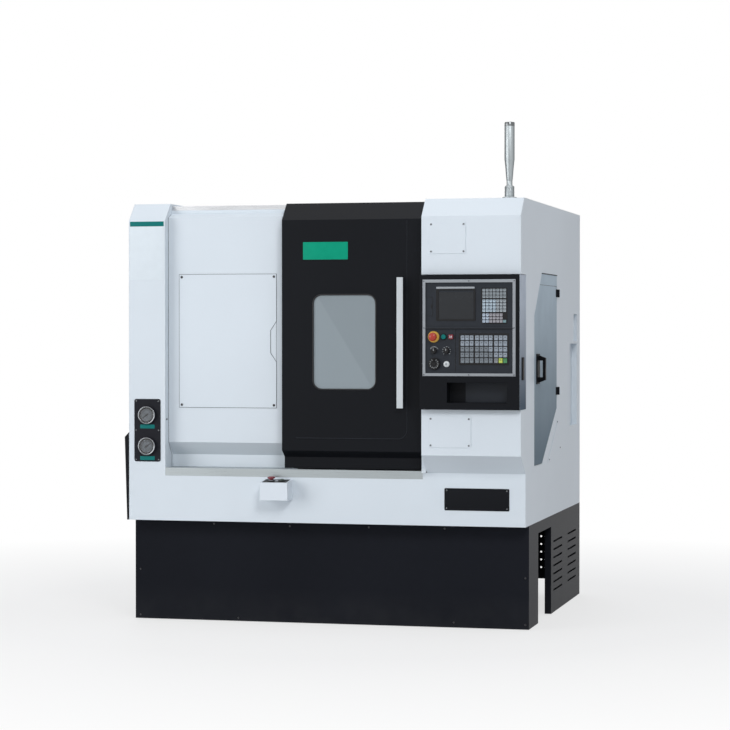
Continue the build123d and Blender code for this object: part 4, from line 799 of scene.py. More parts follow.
class Recipe(Wiring):
    """A Geometry Nodes tree with named inputs, baked to a plain mesh for each piece."""

    def __init__(self, name: str, lengths: Sequence[str], counts: Sequence[str] = ()) -> None:
        """Start a tree.

        Args:
            name: The tree's name.
            lengths: Names of its inputs that are lengths or angles.
            counts: Names of its inputs that are whole numbers.
        """
        super().__init__(bpy.data.node_groups.new(name, "GeometryNodeTree"))
        sockets = self.tree.interface
        sockets.new_socket("Geometry", in_out="OUTPUT", socket_type="NodeSocketGeometry")
        sockets.new_socket("Geometry", in_out="INPUT", socket_type="NodeSocketGeometry")
        for label in lengths:
            sockets.new_socket(label, in_out="INPUT", socket_type="NodeSocketFloat")
        for label in counts:
            sockets.new_socket(label, in_out="INPUT", socket_type="NodeSocketInt")
        sockets.new_socket("Material", in_out="INPUT", socket_type="NodeSocketMaterial")
        self.given = self.node("NodeGroupInput").outputs
        self.grow()

    def grow(self) -> None:
        """Add the tree's own nodes."""
        raise NotImplementedError

    def close(self, geometry: bpy.types.NodeSocket) -> None:
        """End the tree with plain, dressed geometry.

        Args:
            geometry: What the tree made.
        """
        plain = self.out("GeometryNodeRealizeInstances", {"Geometry": geometry})
        dressed = self.node("GeometryNodeSetMaterial", {"Geometry": plain, "Material": self.given["Material"]})
        self.node("NodeGroupOutput", {0: dressed.outputs[0]})

    def scatter(
        self, points: bpy.types.NodeSocket, shape: bpy.types.NodeSocket, turn: bpy.types.NodeSocket
    ) -> bpy.types.NodeSocket:
        """Put a shape on points, each with its rotation, and give the instances."""
        inputs = {"Points": points, "Instance": shape, "Rotation": turn}
        return self.out("GeometryNodeInstanceOnPoints", inputs)

    def bake(
        self, name: str, source: bpy.types.Mesh, values: dict[str, object], place: Matrix | None = None
    ) -> bpy.types.Object:
        """Run the tree once and keep its result as a plain mesh.

        Args:
            name: The piece's name.
            source: The mesh that the tree starts from, removed here.
            values: The tree's inputs by name, lengths in metres.
            place: Where the result goes, if the tree made it elsewhere.

        Returns:
            The piece.
        """
        piece = bpy.data.objects.new(name, source)
        bpy.context.scene.collection.objects.link(piece)
        modifier = piece.modifiers.new("recipe", "NODES")
        modifier.node_group = self.tree
        for item in self.tree.interface.items_tree:
            if item.item_type == "SOCKET" and item.in_out == "INPUT" and item.name in values:
                modifier[item.identifier] = values[item.name]
        graph = bpy.context.evaluated_depsgraph_get()
        mesh = bpy.data.meshes.new_from_object(
            piece.evaluated_get(graph), preserve_all_data_layers=True, depsgraph=graph
        )
        piece.modifiers.remove(modifier)
        piece.data = mesh
        mesh.name = name
        bpy.data.meshes.remove(source)
        if place is not None:
            mesh.transform(place)
        return piece


def point_mesh(spots: Sequence[Vector], links: Sequence[tuple[int, int]] = ()) -> bpy.types.Mesh:
    """Make a mesh of points, joined by lines where they are linked.

    Args:
        spots: The points in millimetres.
        links: Pairs of points.

    Returns:
        The mesh in metres.
    """
    mesh = bpy.data.meshes.new("points")
    mesh.from_pydata([Vector(spot) * MM for spot in spots], links, [])
    return mesh


class ScrewField(Recipe):
    """Cone-shouldered socket screws on points that know which way they face."""

    def __init__(self) -> None:
        """Name the screw's sizes."""
        super().__init__("screw_field", ("Head Radius", "Head Height", "Socket Radius"))

    def grow(self) -> None:
        """Turn a head, cut its socket and set it on the points."""
        height = self.given["Head Height"]
        shoulder = self.math("MULTIPLY", self.given["Head Radius"], 0.74)
        head = self.out("GeometryNodeMeshCone", {
            "Vertices": 20, "Radius Top": shoulder, "Radius Bottom": self.given["Head Radius"], "Depth": height,
        })
        cutter = self.out("GeometryNodeMeshCylinder", {
            "Vertices": 6, "Radius": self.given["Socket Radius"], "Depth": height,
        })
        rise = self.out("ShaderNodeCombineXYZ", {"Z": height})
        cutter = self.out("GeometryNodeTransform", {"Geometry": cutter, "Translation": rise})
        screw = self.out("GeometryNodeMeshBoolean", {"Mesh 1": head, "Mesh 2": cutter}, solver="EXACT")
        facing = self.node("GeometryNodeInputNamedAttribute", {"Name": "facing"}, data_type="FLOAT_VECTOR")
        turn = self.out("FunctionNodeAlignRotationToVector", {"Vector": facing.outputs[0]}, axis="Z")
        self.close(self.scatter(self.given["Geometry"], screw, turn))

    def set(
        self, name: str, spots: Sequence[tuple[Place, Facing]], radius: float, finish: bpy.types.Material
    ) -> bpy.types.Object:
        """Make screws.

        Args:
            name: The piece's name.
            spots: Each screw's seat and the side it looks at.
            radius: The head's radius.
            finish: The screws' material.

        Returns:
            The piece.
        """
        mesh = point_mesh([Vector(place) for place, _ in spots])
        facing = mesh.attributes.new("facing", "FLOAT_VECTOR", "POINT")
        for item, (_, side) in zip(facing.data, spots):
            item.vector = side.out
        sizes = {"Head Radius": radius * MM, "Head Height": 0.55 * radius * MM, "Socket Radius": 0.42 * radius * MM}
        return self.bake(name, mesh, {**sizes, "Material": finish})


class KeyField(Recipe):
    """Drafted key caps on points, each with its own tint."""

    def __init__(self) -> None:
        """Name the key's sizes."""
        super().__init__("key_field", ("Key Width", "Key Height", "Key Rise", "Corner", "Draft"))

    def grow(self) -> None:
        """Draw a rounded cap, raise and draft it, close its back and set it on the points."""
        outline = self.out("GeometryNodeCurvePrimitiveQuadrilateral", {
            "Width": self.given["Key Width"], "Height": self.given["Key Height"],
        })
        outline = self.out(
            "GeometryNodeFilletCurve", {"Curve": outline, "Radius": self.given["Corner"], "Count": 2}, mode="POLY"
        )
        back = self.out("GeometryNodeFillCurve", {"Curve": outline}, mode="NGONS")
        raised = self.node("GeometryNodeExtrudeMesh", {"Mesh": back, "Offset Scale": self.given["Key Rise"]})
        drafted = self.out("GeometryNodeScaleElements", {
            "Geometry": raised.outputs["Mesh"], "Selection": raised.outputs["Top"], "Scale": self.given["Draft"],
        })
        closed = self.out("GeometryNodeFlipFaces", {"Mesh": back})
        cap = self.node("GeometryNodeJoinGeometry", {"Geometry": drafted})
        self.tree.links.new(closed, cap.inputs[0])
        cap = self.out("GeometryNodeMergeByDistance", {"Geometry": cap.outputs[0], "Distance": MERGE_REACH})
        out = self.out("ShaderNodeCombineXYZ", {"Z": 1.0})
        turn = self.out("FunctionNodeAlignRotationToVector", {"Vector": out}, axis="Z")
        self.close(self.scatter(self.given["Geometry"], cap, turn))


class TickRing(Recipe):
    """Small bars along an arc, for printed scales, knurls and grip ridges."""

    def __init__(self) -> None:
        """Name the ring's sizes."""
        super().__init__("tick_ring", ("Radius", "Start", "Sweep", "Width", "Length", "Thickness"), ("Count",))

    def grow(self) -> None:
        """Set bars on the points of an arc, square to it."""
        arc = self.out("GeometryNodeCurveArc", {
            "Resolution": self.given["Count"], "Radius": self.given["Radius"],
            "Start Angle": self.given["Start"], "Sweep Angle": self.given["Sweep"],
        })
        size = self.out("ShaderNodeCombineXYZ", {
            "X": self.given["Width"], "Y": self.given["Length"], "Z": self.given["Thickness"],
        })
        bar = self.out("GeometryNodeMeshCube", {"Size": size})
        tangent = self.out("GeometryNodeInputTangent")
        turn = self.out(
            "FunctionNodeAlignRotationToVector", {"Vector": tangent}, axis="X", pivot_axis="Z"
        )
        self.close(self.scatter(arc, bar, turn))

    def draw(
        self, name: str, place: Matrix, arc: tuple[float, float, float], bar: Place, count: int,
        finish: bpy.types.Material,
    ) -> bpy.types.Object:
        """Make a ring of bars.

        Args:
            name: The piece's name.
            place: The arc's middle, its own Z out of the surface.
            arc: Radius, and start and sweep in degrees.
            bar: A bar's width, length and thickness.
            count: How many bars.
            finish: Their material.

        Returns:
            The piece.
        """
        radius, start, sweep = arc
        values = dict(zip(("Width", "Length", "Thickness"), (float(size) for size in bar)))
        values.update({
            "Radius": float(radius), "Start": math.radians(start), "Sweep": math.radians(sweep), "Count": count,
            "Material": finish,
        })
        return self.bake(name, point_mesh([]), values, place)


class Beading(Recipe):
    """A round bead along a path with rounded corners."""

    def __init__(self) -> None:
        """Name the bead's sizes."""
        super().__init__("beading", ("Bead Radius", "Corner"))

    def grow(self) -> None:
        """Round the path's corners and sweep a circle along it."""
        path = self.out("GeometryNodeMeshToCurve", {"Mesh": self.given["Geometry"]})
        path = self.out("GeometryNodeFilletCurve", {
            "Curve": path, "Radius": self.given["Corner"], "Limit Radius": True, "Count": 8,
        }, mode="POLY")
        section = self.out(
            "GeometryNodeCurvePrimitiveCircle", {"Resolution": 10, "Radius": self.given["Bead Radius"]}
        )
        bead = self.node("GeometryNodeCurveToMesh", {"Curve": path, "Profile Curve": section, "Fill Caps": True})
        self.close(self.out("GeometryNodeSetShadeSmooth", {"Geometry": bead.outputs[0]}))

    def lay(
        self, name: str, runs: Sequence[Sequence[Place]], radius: float, corner: float, finish: bpy.types.Material,
        closed: bool = False,
    ) -> bpy.types.Object:
        """Make beads.

        Args:
            name: The piece's name.
            runs: The points of each bead's path.
            radius: The bead's radius.
            corner: The radius of its corners.
            finish: Its material.
            closed: Whether each path returns to its start.

        Returns:
            The piece.
        """
        spots, links = [], []
        for run in runs:
            first = len(spots)
            spots.extend(Vector(place) for place in run)
            links.extend((first + step, first + step + 1) for step in range(len(run) - 1))
            if closed:
                links.append((len(spots) - 1, first))
        values = {"Bead Radius": radius * MM, "Corner": corner * MM, "Material": finish}
        return self.bake(name, point_mesh(spots, links), values)


class RibStack(Recipe):
    """Rings of round section stacked at an even pitch."""

    def __init__(self) -> None:
        """Name the stack's sizes."""
        super().__init__("rib_stack", ("Radius", "Rib Radius", "Pitch"), ("Count",))

    def grow(self) -> None:
        """Set one swept ring on each point of an upright line."""
        step = self.out("ShaderNodeCombineXYZ", {"Z": self.given["Pitch"]})
        line = self.out("GeometryNodeMeshLine", {"Count": self.given["Count"], "Offset": step})
        circle = self.out(
            "GeometryNodeCurvePrimitiveCircle", {"Resolution": 48, "Radius": self.given["Radius"]}
        )
        section = self.out(
            "GeometryNodeCurvePrimitiveCircle", {"Resolution": 10, "Radius": self.given["Rib Radius"]}
        )
        ring = self.out("GeometryNodeCurveToMesh", {"Curve": circle, "Profile Curve": section})
        ring = self.out("GeometryNodeSetShadeSmooth", {"Geometry": ring})
        up = self.out("ShaderNodeCombineXYZ", {"Z": 1.0})
        turn = self.out("FunctionNodeAlignRotationToVector", {"Vector": up}, axis="Z")
        self.close(self.scatter(line, ring, turn))


@dataclass
class Shop:
    """What the sub-assemblies share: the finishes and the node recipes."""

    palette: Palette
    screws: ScrewField
    keys: KeyField
    ticks: TickRing
    beads: Beading
    ribs: RibStack

    def fit(
        self, piece: bpy.types.Object, body: str, slot: str, finish: str = "", replaced: Sequence[str] = ()
    ) -> None:
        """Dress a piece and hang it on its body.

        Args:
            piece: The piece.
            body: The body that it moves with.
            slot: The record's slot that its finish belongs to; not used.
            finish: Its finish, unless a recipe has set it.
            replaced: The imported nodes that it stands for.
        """
        if finish:
            piece.data.materials.clear()
            piece.data.materials.append(self.palette[finish])
        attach(piece, body)
        if replaced:
            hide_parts(*replaced)
        LOG.info("%s rides on %s: %d faces", piece.name, body, len(piece.data.polygons))

    def fasten(self, name: str, spots: Sequence[tuple[Place, Facing]], radius: float, finish: str, body: str) -> None:
        """Make screws as ScrewField.set does, and hang them on a body."""
        self.fit(self.screws.set(name, spots, radius, self.palette[finish]), body, "ground_steel")


    def cut(
        self, name: str, box: Box, sheet: Sheet, place: Matrix, body: str, slot: str, finish: str
    ) -> None:
        """Cut a plate where a box stands, with the sheet's corner, thickness and edge, and hang it on a body."""
        corner, thickness, edge = sheet
        self.fit(plates(name, box_outline(box, corner), thickness, [place], edge), body, slot, finish)

    def line(
        self, name: str, runs: Sequence[Sequence[Place]], radius: float, corner: float, finish: str, body: str,
        closed: bool = False,
    ) -> None:
        """Make beads as Beading.lay does, and hang them on a body."""
        self.fit(self.beads.lay(name, runs, radius, corner, self.palette[finish], closed), body, "black_plastic")

    def ring(
        self, name: str, place: Matrix, lift: float, arc: Place, bar: Place, count: int, finish: str, body: str,
        slot: str = "black_plastic",
    ) -> None:
        """Make bars as TickRing.draw does, lifted over a place, and hang them on a body."""
        spot = place @ Matrix.Translation((0, 0, lift))
        self.fit(self.ticks.draw(name, spot, arc, bar, count, self.palette[finish]), body, slot)


# Sub-assemblies


@dataclass
class Enclosure:
    """Screws and plates of the fixed sheet metal, and dark beads and a dark sheet of painted shadow in its seams and
    behind its louvres.
    """

    shop: Shop
    screw: float = 4.5
    small_screw: float = 4.0
    plinth_screw: float = 5.0
    card: Box = (-917.5, -754.5, 1552.0, 1818.0)
    card_header: float = 22.0
    card_sheet: Sheet = (3.0, 0.8, 0.3)
    header_sheet: Sheet = (2.0, 0.5, 0.2)
    bare_plate: Box = (543.5, 833.5, 531.0, 629.0)
    cover_inset: float = 12.0
    cover_screw: float = 6.0
    cover_plates: tuple[Box, ...] = ((499.5, 661.5, 1657.0, 1793.0), (497.5, 685.5, 813.0, 947.0))
    cover_plate_inset: float = 9.0
    plate_depth: float = 2.0
    bare_sheet: Sheet = (5.0, 2.0, 0.8)
    bare_inset: float = 10.0
    notch_depth: float = 28.0
    notch_rises: Box = (207.0, 247.5, 349.5, 390.0)
    seam: float = 1.1
    column_seam: tuple[Point, ...] = (
        (-600.0, 1854.0), (-642.6, 1834.0), (-642.6, 816.0), (-597.5, 758.0), (-597.5, 705.0),
    )
    column_split: float = -749.5
    column_screw: Point = (-669.0, 920.0)
    jamb_foot: Box = (445.5, 465.5, 695.0, 715.5)
    jamb_sheet: Sheet = (0.5, 3.0, 0.0)
    jamb_back: float = -709.5
    plinth_seats: tuple[Point, ...] = (
        (-545.0, 444.0), (-187.0, 440.0), (180.0, 442.0), (527.0, 443.0), (-898.0, 230.0), (890.0, 231.0),
        (-430.0, 18.0), (568.0, 27.0), (890.0, 25.0), (-898.0, 21.0),
    )
    louvre_inset: float = 34.0
    louvre_sheet: Sheet = (2.0, 2.0, 0.0)
    louvre_sink: float = 14.0
    wall_shares: tuple[float, ...] = (0.03, 0.34, 0.66, 0.97)
    wall_sink: float = 3.2
    gusset: tuple[Point, ...] = ((163.0, 893.0), (246.0, 768.0), (-72.0, 727.0))
    hatch_seam_shadow: tuple[Point, Point] = ((-322.0, 1530.0), (152.0, 1530.0))
    hatch_lip_shadow: tuple[Point, Point] = ((-269.0, 1582.0), (154.0, 1582.0))
    hatch_beads: Point = (0.7, 2.4)

    def build(self) -> None:
        """Make all of it."""
        self.fasten_panels()
        self.fasten_walls()
        self.fasten_plinth()
        self.line_cover()
        self.line_column()
        self.paint_louvre_shade()
        self.dress_hatch()
        self.hang_card()
        self.hang_bare_plate()

    def fasten_panels(self) -> None:
        """Screw down the access cover, the column's cover plates and the gusset plate."""
        low, high = span_of("access_cover")
        seats = corner_seats((low.x, high.x, low.z, high.z), low.y, self.cover_inset)
        self.shop.fasten("access_cover_screws", seats, self.cover_screw, "black_screw", "frame")
        front = front_of("right_column") - self.plate_depth
        seats = [seat for box in self.cover_plates for seat in corner_seats(box, front, self.cover_plate_inset)]
        self.shop.fasten("cover_plate_screws", seats, self.screw, "zinc_screw", "frame")
        side = right_of("right_side_wall") + self.plate_depth
        seats = [((side, y, z), Facing.RIGHT) for y, z in self.gusset]
        self.shop.fasten("gusset_screws", seats, self.small_screw, "zinc_screw", "frame")

    def fasten_walls(self) -> None:
        """Screw down the rear wall along its edges and the left wall along its rear edge."""
        low, high = span_of("rear_wall")
        size = high - low
        shares = [(across, up) for across in self.wall_shares for up in self.wall_shares
                  if not {across, up} <= set(self.wall_shares[1:-1])]
        rear = high.y - self.wall_sink
        seats = [((low.x + across * size.x, rear, low.z + up * size.z), Facing.REAR) for across, up in shares]
        low, high = span_of("left_side_wall")
        rear = high.y - self.cover_inset
        seats += [((low.x, rear, low.z + up * (high.z - low.z)), Facing.LEFT) for up in self.wall_shares]
        self.shop.fasten("wall_screws", seats, self.cover_screw, "zinc_screw", "frame")

    def fasten_plinth(self) -> None:
        """Screw the plinth's front sheet down along its edges."""
        front = front_of("front_skirt")
        seats = [((x, front, z), Facing.FRONT) for x, z in self.plinth_seats]
        self.shop.fasten("plinth_screws", seats, self.plinth_screw, "black_screw", "frame")

    def line_cover(self) -> None:
        """Draw a dark bead of painted shadow in the gap round the access cover and its finger notch, and a thinner one
        across the notch's mouth.
        """
        low, high = span_of("access_cover")
        back = high.y - self.seam
        inner = high.x - self.notch_depth
        mouth_low, floor_low, floor_high, mouth_high = (low.z + rise for rise in self.notch_rises)
        run = [
            (low.x, back, low.z), (high.x, back, low.z), (high.x, back, mouth_low), (inner, back, floor_low),
            (inner, back, floor_high), (high.x, back, mouth_high), (high.x, back, high.z), (low.x, back, high.z),
        ]
        # Painted shadow: dark beads stand for the shade in the cover's gap.
        self.shop.line("access_cover_gap_shadow", [run], self.seam, 1.0, "seam_shadow", "frame", True)
        mouth = [(high.x, back, mouth_low), (high.x, back, mouth_high)]
        self.shop.line("notch_mouth_shadow", [mouth], self.seam / 2, 0.0, "seam_shadow", "frame")

    def line_column(self) -> None:
        """Draw a dark bead of painted shadow in the joint beside the left column, set its screw, and close the right
        jamb's foot.
        """
        run = [(self.column_split, y, z) for y, z in self.column_seam]
        # Painted shadow: a dark bead stands for the shade in the joint.
        self.shop.line("column_gap_shadow", [run], self.seam, 0.0, "seam_shadow", "frame")
        seats = [((self.column_split, *self.column_screw), Facing.RIGHT)]
        self.shop.fasten("column_screw", seats, self.plinth_screw, "black_screw", "frame")
        self.shop.cut("jamb_foot", self.jamb_foot, self.jamb_sheet, Facing.FRONT.at(0, self.jamb_back, 0),
                      "frame", "white_paint", "white_paint")

    def paint_louvre_shade(self) -> None:
        """Set a dark sheet of painted shade behind the louvred panel's slots."""
        low, high = span_of("louvre_panel")
        inset = self.louvre_inset
        box = (low.y + inset, high.y - inset, low.z + inset, high.z - inset)
        # Painted shade: a dark sheet stands for the shade inside the slots.
        self.shop.cut("louvre_shade_sheet", box, self.louvre_sheet, Facing.RIGHT.at(high.x - self.louvre_sink, 0, 0),
                      "frame", "black_plastic", "plinth_paint")

    def dress_hatch(self) -> None:
        """Draw dark beads of painted shadow at the service door's folded lip and along its seam."""
        side = right_of("service_door")
        lines = (self.hatch_seam_shadow, self.hatch_lip_shadow)
        # Painted shadow: dark beads stand for the shade under the lip and in the seam.
        for name, (start, end), radius in zip(("hatch_seam_shadow", "hatch_lip_shadow"), lines, self.hatch_beads):
            self.shop.line(name, [[(side, *start), (side, *end)]], radius, 0.0, "seam_shadow", "hatch")

    def hang_card(self) -> None:
        """Hang the blank instruction card with its coloured header on the left column."""
        left, right, _, high = self.card
        front = front_of("left_column")
        self.shop.cut("instruction_card", self.card, self.card_sheet, Facing.FRONT.at(0, front, 0),
                      "frame", "white_paint", "card_stock")
        header = (left + 1, right - 1, high - self.card_header - 1, high - 1)
        place = Facing.FRONT.at(0, front - self.card_sheet[1], 0)
        self.shop.cut("card_header", header, self.header_sheet, place, "frame", "green_plastic", "teal_print")

    def hang_bare_plate(self) -> None:
        """Hang the bare black plate on the apron."""
        front = front_of("apron")
        self.shop.cut("apron_plate", self.bare_plate, self.bare_sheet, Facing.FRONT.at(0, front, 0),
                      "frame", "black_plastic", "black_paint")
        seats = corner_seats(self.bare_plate, front - self.bare_sheet[1], self.bare_inset)
        self.shop.fasten("apron_plate_screws", seats, self.small_screw, "zinc_screw", "frame")


@dataclass
class SlidingDoor:
    """The window's gasket, a bead of painted highlight along the groove's edge, and the coloured plate of the front
    door.
    """

    shop: Shop
    window: Box = (-50.5, 237.5, 1061.0, 1482.0)
    window_corner: float = 40.0
    bead: float = 3.2
    plate: Box = (-96.5, 109.5, 1638.0, 1716.0)
    plate_sheet: Sheet = (2.5, 1.6, 0.5)
    groove: tuple[Point, ...] = ((378.5, 1808.0), (378.5, 844.0), (-129.5, 844.0))
    groove_bead: float = 0.9

    def build(self) -> None:
        """Make all of it."""
        front = front_of("door_leaf")
        left, right, low, high = self.window
        run = [(left, front, low), (right, front, low), (right, front, high), (left, front, high)]
        self.shop.line("window_gasket", [run], self.bead, self.window_corner, "dark_rubber", "door", True)
        run = [(x, front, z) for x, z in self.groove]
        # Painted highlight: a lighter bead stands for light caught on the groove's edge.
        self.shop.line("door_groove_highlight", [run], self.groove_bead, self.window_corner, "groove_highlight", "door")
        self.shop.cut("door_plate", self.plate, self.plate_sheet, Facing.FRONT.at(0, front, 0),
                      "door", "green_plastic", "green_plastic")


@dataclass
class GaugePanel:
    """The two pressure gauges, their label strips and the plate's screws."""

    shop: Shop
    middle: float = -834.0
    heights: Point = (798.0, 939.0)
    radius: float = 41.0
    depth: float = 16.0
    dial: float = 33.5
    face: float = 29.0
    strip: Point = (69.0, 18.0)
    strip_heights: Point = (743.5, 887.0)
    mid_screws: float = 870.0
    screw_inset: float = 9.0
    screw: float = 3.6
    needle_angles: Point = (35.0, 215.0)

    def build(self) -> None:
        """Make all of it."""
        front = front_of("gauge_plate")
        places = [Facing.FRONT.at(self.middle, front, height) for height in self.heights]
        case = turned("gauge_cases", (
            (0, 0), (38, 0), (38, 7), (self.radius, 8.5), (self.radius, 13), (39.5, self.depth - 0.4),
            (37.5, self.depth), (35.5, self.depth - 0.6), (34, 13.5), (self.dial, 11), (0, 11),
        ), places)
        self.shop.fit(case, "frame", "chrome", "gauge_chrome", ["pressure_gauges"])
        face = turned("gauge_faces", ((0, 11), (self.face, 11), (self.face, 11.5), (0, 11.5)), places)
        self.shop.fit(face, "frame", "aluminium", "dial_face")
        ring = turned("gauge_rings", (
            (self.face, 11), (self.dial, 11), (self.dial, 13), (self.face + 1, 12), (self.face, 11.8), (self.face, 11),
        ), places)
        self.shop.fit(ring, "frame", "black_plastic", "black_plastic")
        self.mark(places)
        glass = turned("gauge_glasses", ((0, 13.2), (33.9, 13.2), (33.9, 13.9), (20, 14.6), (0, 14.9)), places)
        self.shop.fit(glass, "frame", "window", "gauge_glass")
        strips = plates("gauge_strips", rounded_rectangle(*self.strip, 1.5), 0.8,
                        [Facing.FRONT.at(self.middle, front, z) for z in self.strip_heights], 0.3)
        self.shop.fit(strips, "frame", "green_plastic", "teal_print")
        low, high = span_of("gauge_plate")
        inset = self.screw_inset
        seats = corner_seats((low.x, high.x, low.z, high.z), front, inset)
        seats += [((x, front, self.mid_screws), Facing.FRONT) for x in (low.x + inset, high.x - inset)]
        self.shop.fasten("gauge_plate_screws", seats, self.screw, "zinc_screw", "frame")

    def mark(self, places: Sequence[Matrix]) -> None:
        """Give each dial its scale and its needle.

        Args:
            places: The gauges' places.
        """
        for label, place, angle in zip(("lower", "upper"), places, self.needle_angles):
            self.shop.ring(f"{label}_gauge_scale", place, 11.6, (24, -45, 270), (1.1, 6, 0.4), 28,
                           "black_plastic", "frame")
            lean = place @ Matrix.Rotation(math.radians(angle), 4, "Z") @ Matrix.Translation((0, 0, 11.9))
            needle = plates(f"{label}_gauge_needle", (
                (-10, -2.6), (0, -3.6), (22, -1), (22, 1), (0, 3.6), (-10, 2.6),
            ), 0.6, [lean])
            self.shop.fit(needle, "frame", "black_plastic", "black_plastic")


@dataclass
class ButtonStation:
    """The two push buttons of the station on the apron."""

    shop: Shop
    stop_x: float = -236.5
    start_x: float = -188.5
    middle: Point = (-732.5, 651.5)
    top: Point = (112.0, 70.0)
    hole: float = 11.0
    stop_head: Profile = (
        (0, -22), (9.5, -22), (9.5, 10), (13, 11), (17, 12), (17.6, 14), (16.6, 17.4), (12, 19.4), (0, 20),
    )
    start_lens: Profile = ((0, -22), (9.5, -22), (9.5, 7.5), (8.8, 8.5), (6, 9), (0, 9))
    collar: Profile = ((10.4, 0), (15, 0), (15, 2), (14, 3.2), (10.4, 3.2), (10.4, 0))
    sleeve: Profile = ((10.2, 0), (13.2, 0), (13.2, 5), (12.6, 5.6), (10.2, 5.6), (10.2, 0))

    def build(self) -> None:
        """Make the buttons and their collars."""
        stop, start = (Facing.STATION.at(x, *self.middle) for x in (self.stop_x, self.start_x))
        low, high = span_of("button_station")
        outline = rounded_rectangle(*self.top, 4.0)
        turns = [math.tau * step / len(outline) for step in range(len(outline))]
        hole = [(self.hole * math.cos(turn), self.hole * math.sin(turn)) for turn in turns]
        middle = Facing.STATION.at((low.x + high.x) / 2, *self.middle)
        plate = rim_plate("station_plate", outline, hole, 0.8, middle)
        self.shop.fit(plate, "frame", "black_plastic", "black_plastic")
        for name, profile, places, *fitting in (
            ("station_stop_button", self.stop_head, [stop],
             "station_stop", "red_plastic", "maroon_plastic", ["station_stop"]),
            ("station_start_button", self.start_lens, [start],
             "station_start", "green_plastic", "dark_green_plastic", ["station_start"]),
            ("station_collars", self.collar, [stop, start], "frame", "black_plastic", "black_plastic"),
            ("station_sleeve", self.sleeve, [stop], "frame", "aluminium", "aluminium"),
        ):
            self.shop.fit(turned(name, profile, places), *fitting)


Tint = Callable[[int, int], Colour | None]


@dataclass(frozen=True)
class KeyPad:
    """One pad of keys that stand in spaced groups."""

    label: str
    box: Box
    columns: tuple[int, ...]
    rows: tuple[int, ...]
    margin: float = 7.0
    group_gap: float = 4.0
    key_share: float = 0.86

    def pitch(self, span: float, groups: tuple[int, ...]) -> float:
        """Give the room of one key along a side of this span, with so many keys in each group."""
        return (span - 2 * self.margin - self.group_gap * (len(groups) - 1)) / sum(groups)

    def middles(self, span: float, groups: tuple[int, ...]) -> list[float]:
        """Give the keys' middles along one side.

        Args:
            span: The length of the pad's side.
            groups: The keys in each group along it.

        Returns:
            Their distances from the side's start.
        """
        pitch = self.pitch(span, groups)
        gaps = [group for group, keys in enumerate(groups) for _ in range(keys)]
        return [self.margin + (step + 0.5) * pitch + gap * self.group_gap for step, gap in enumerate(gaps)]


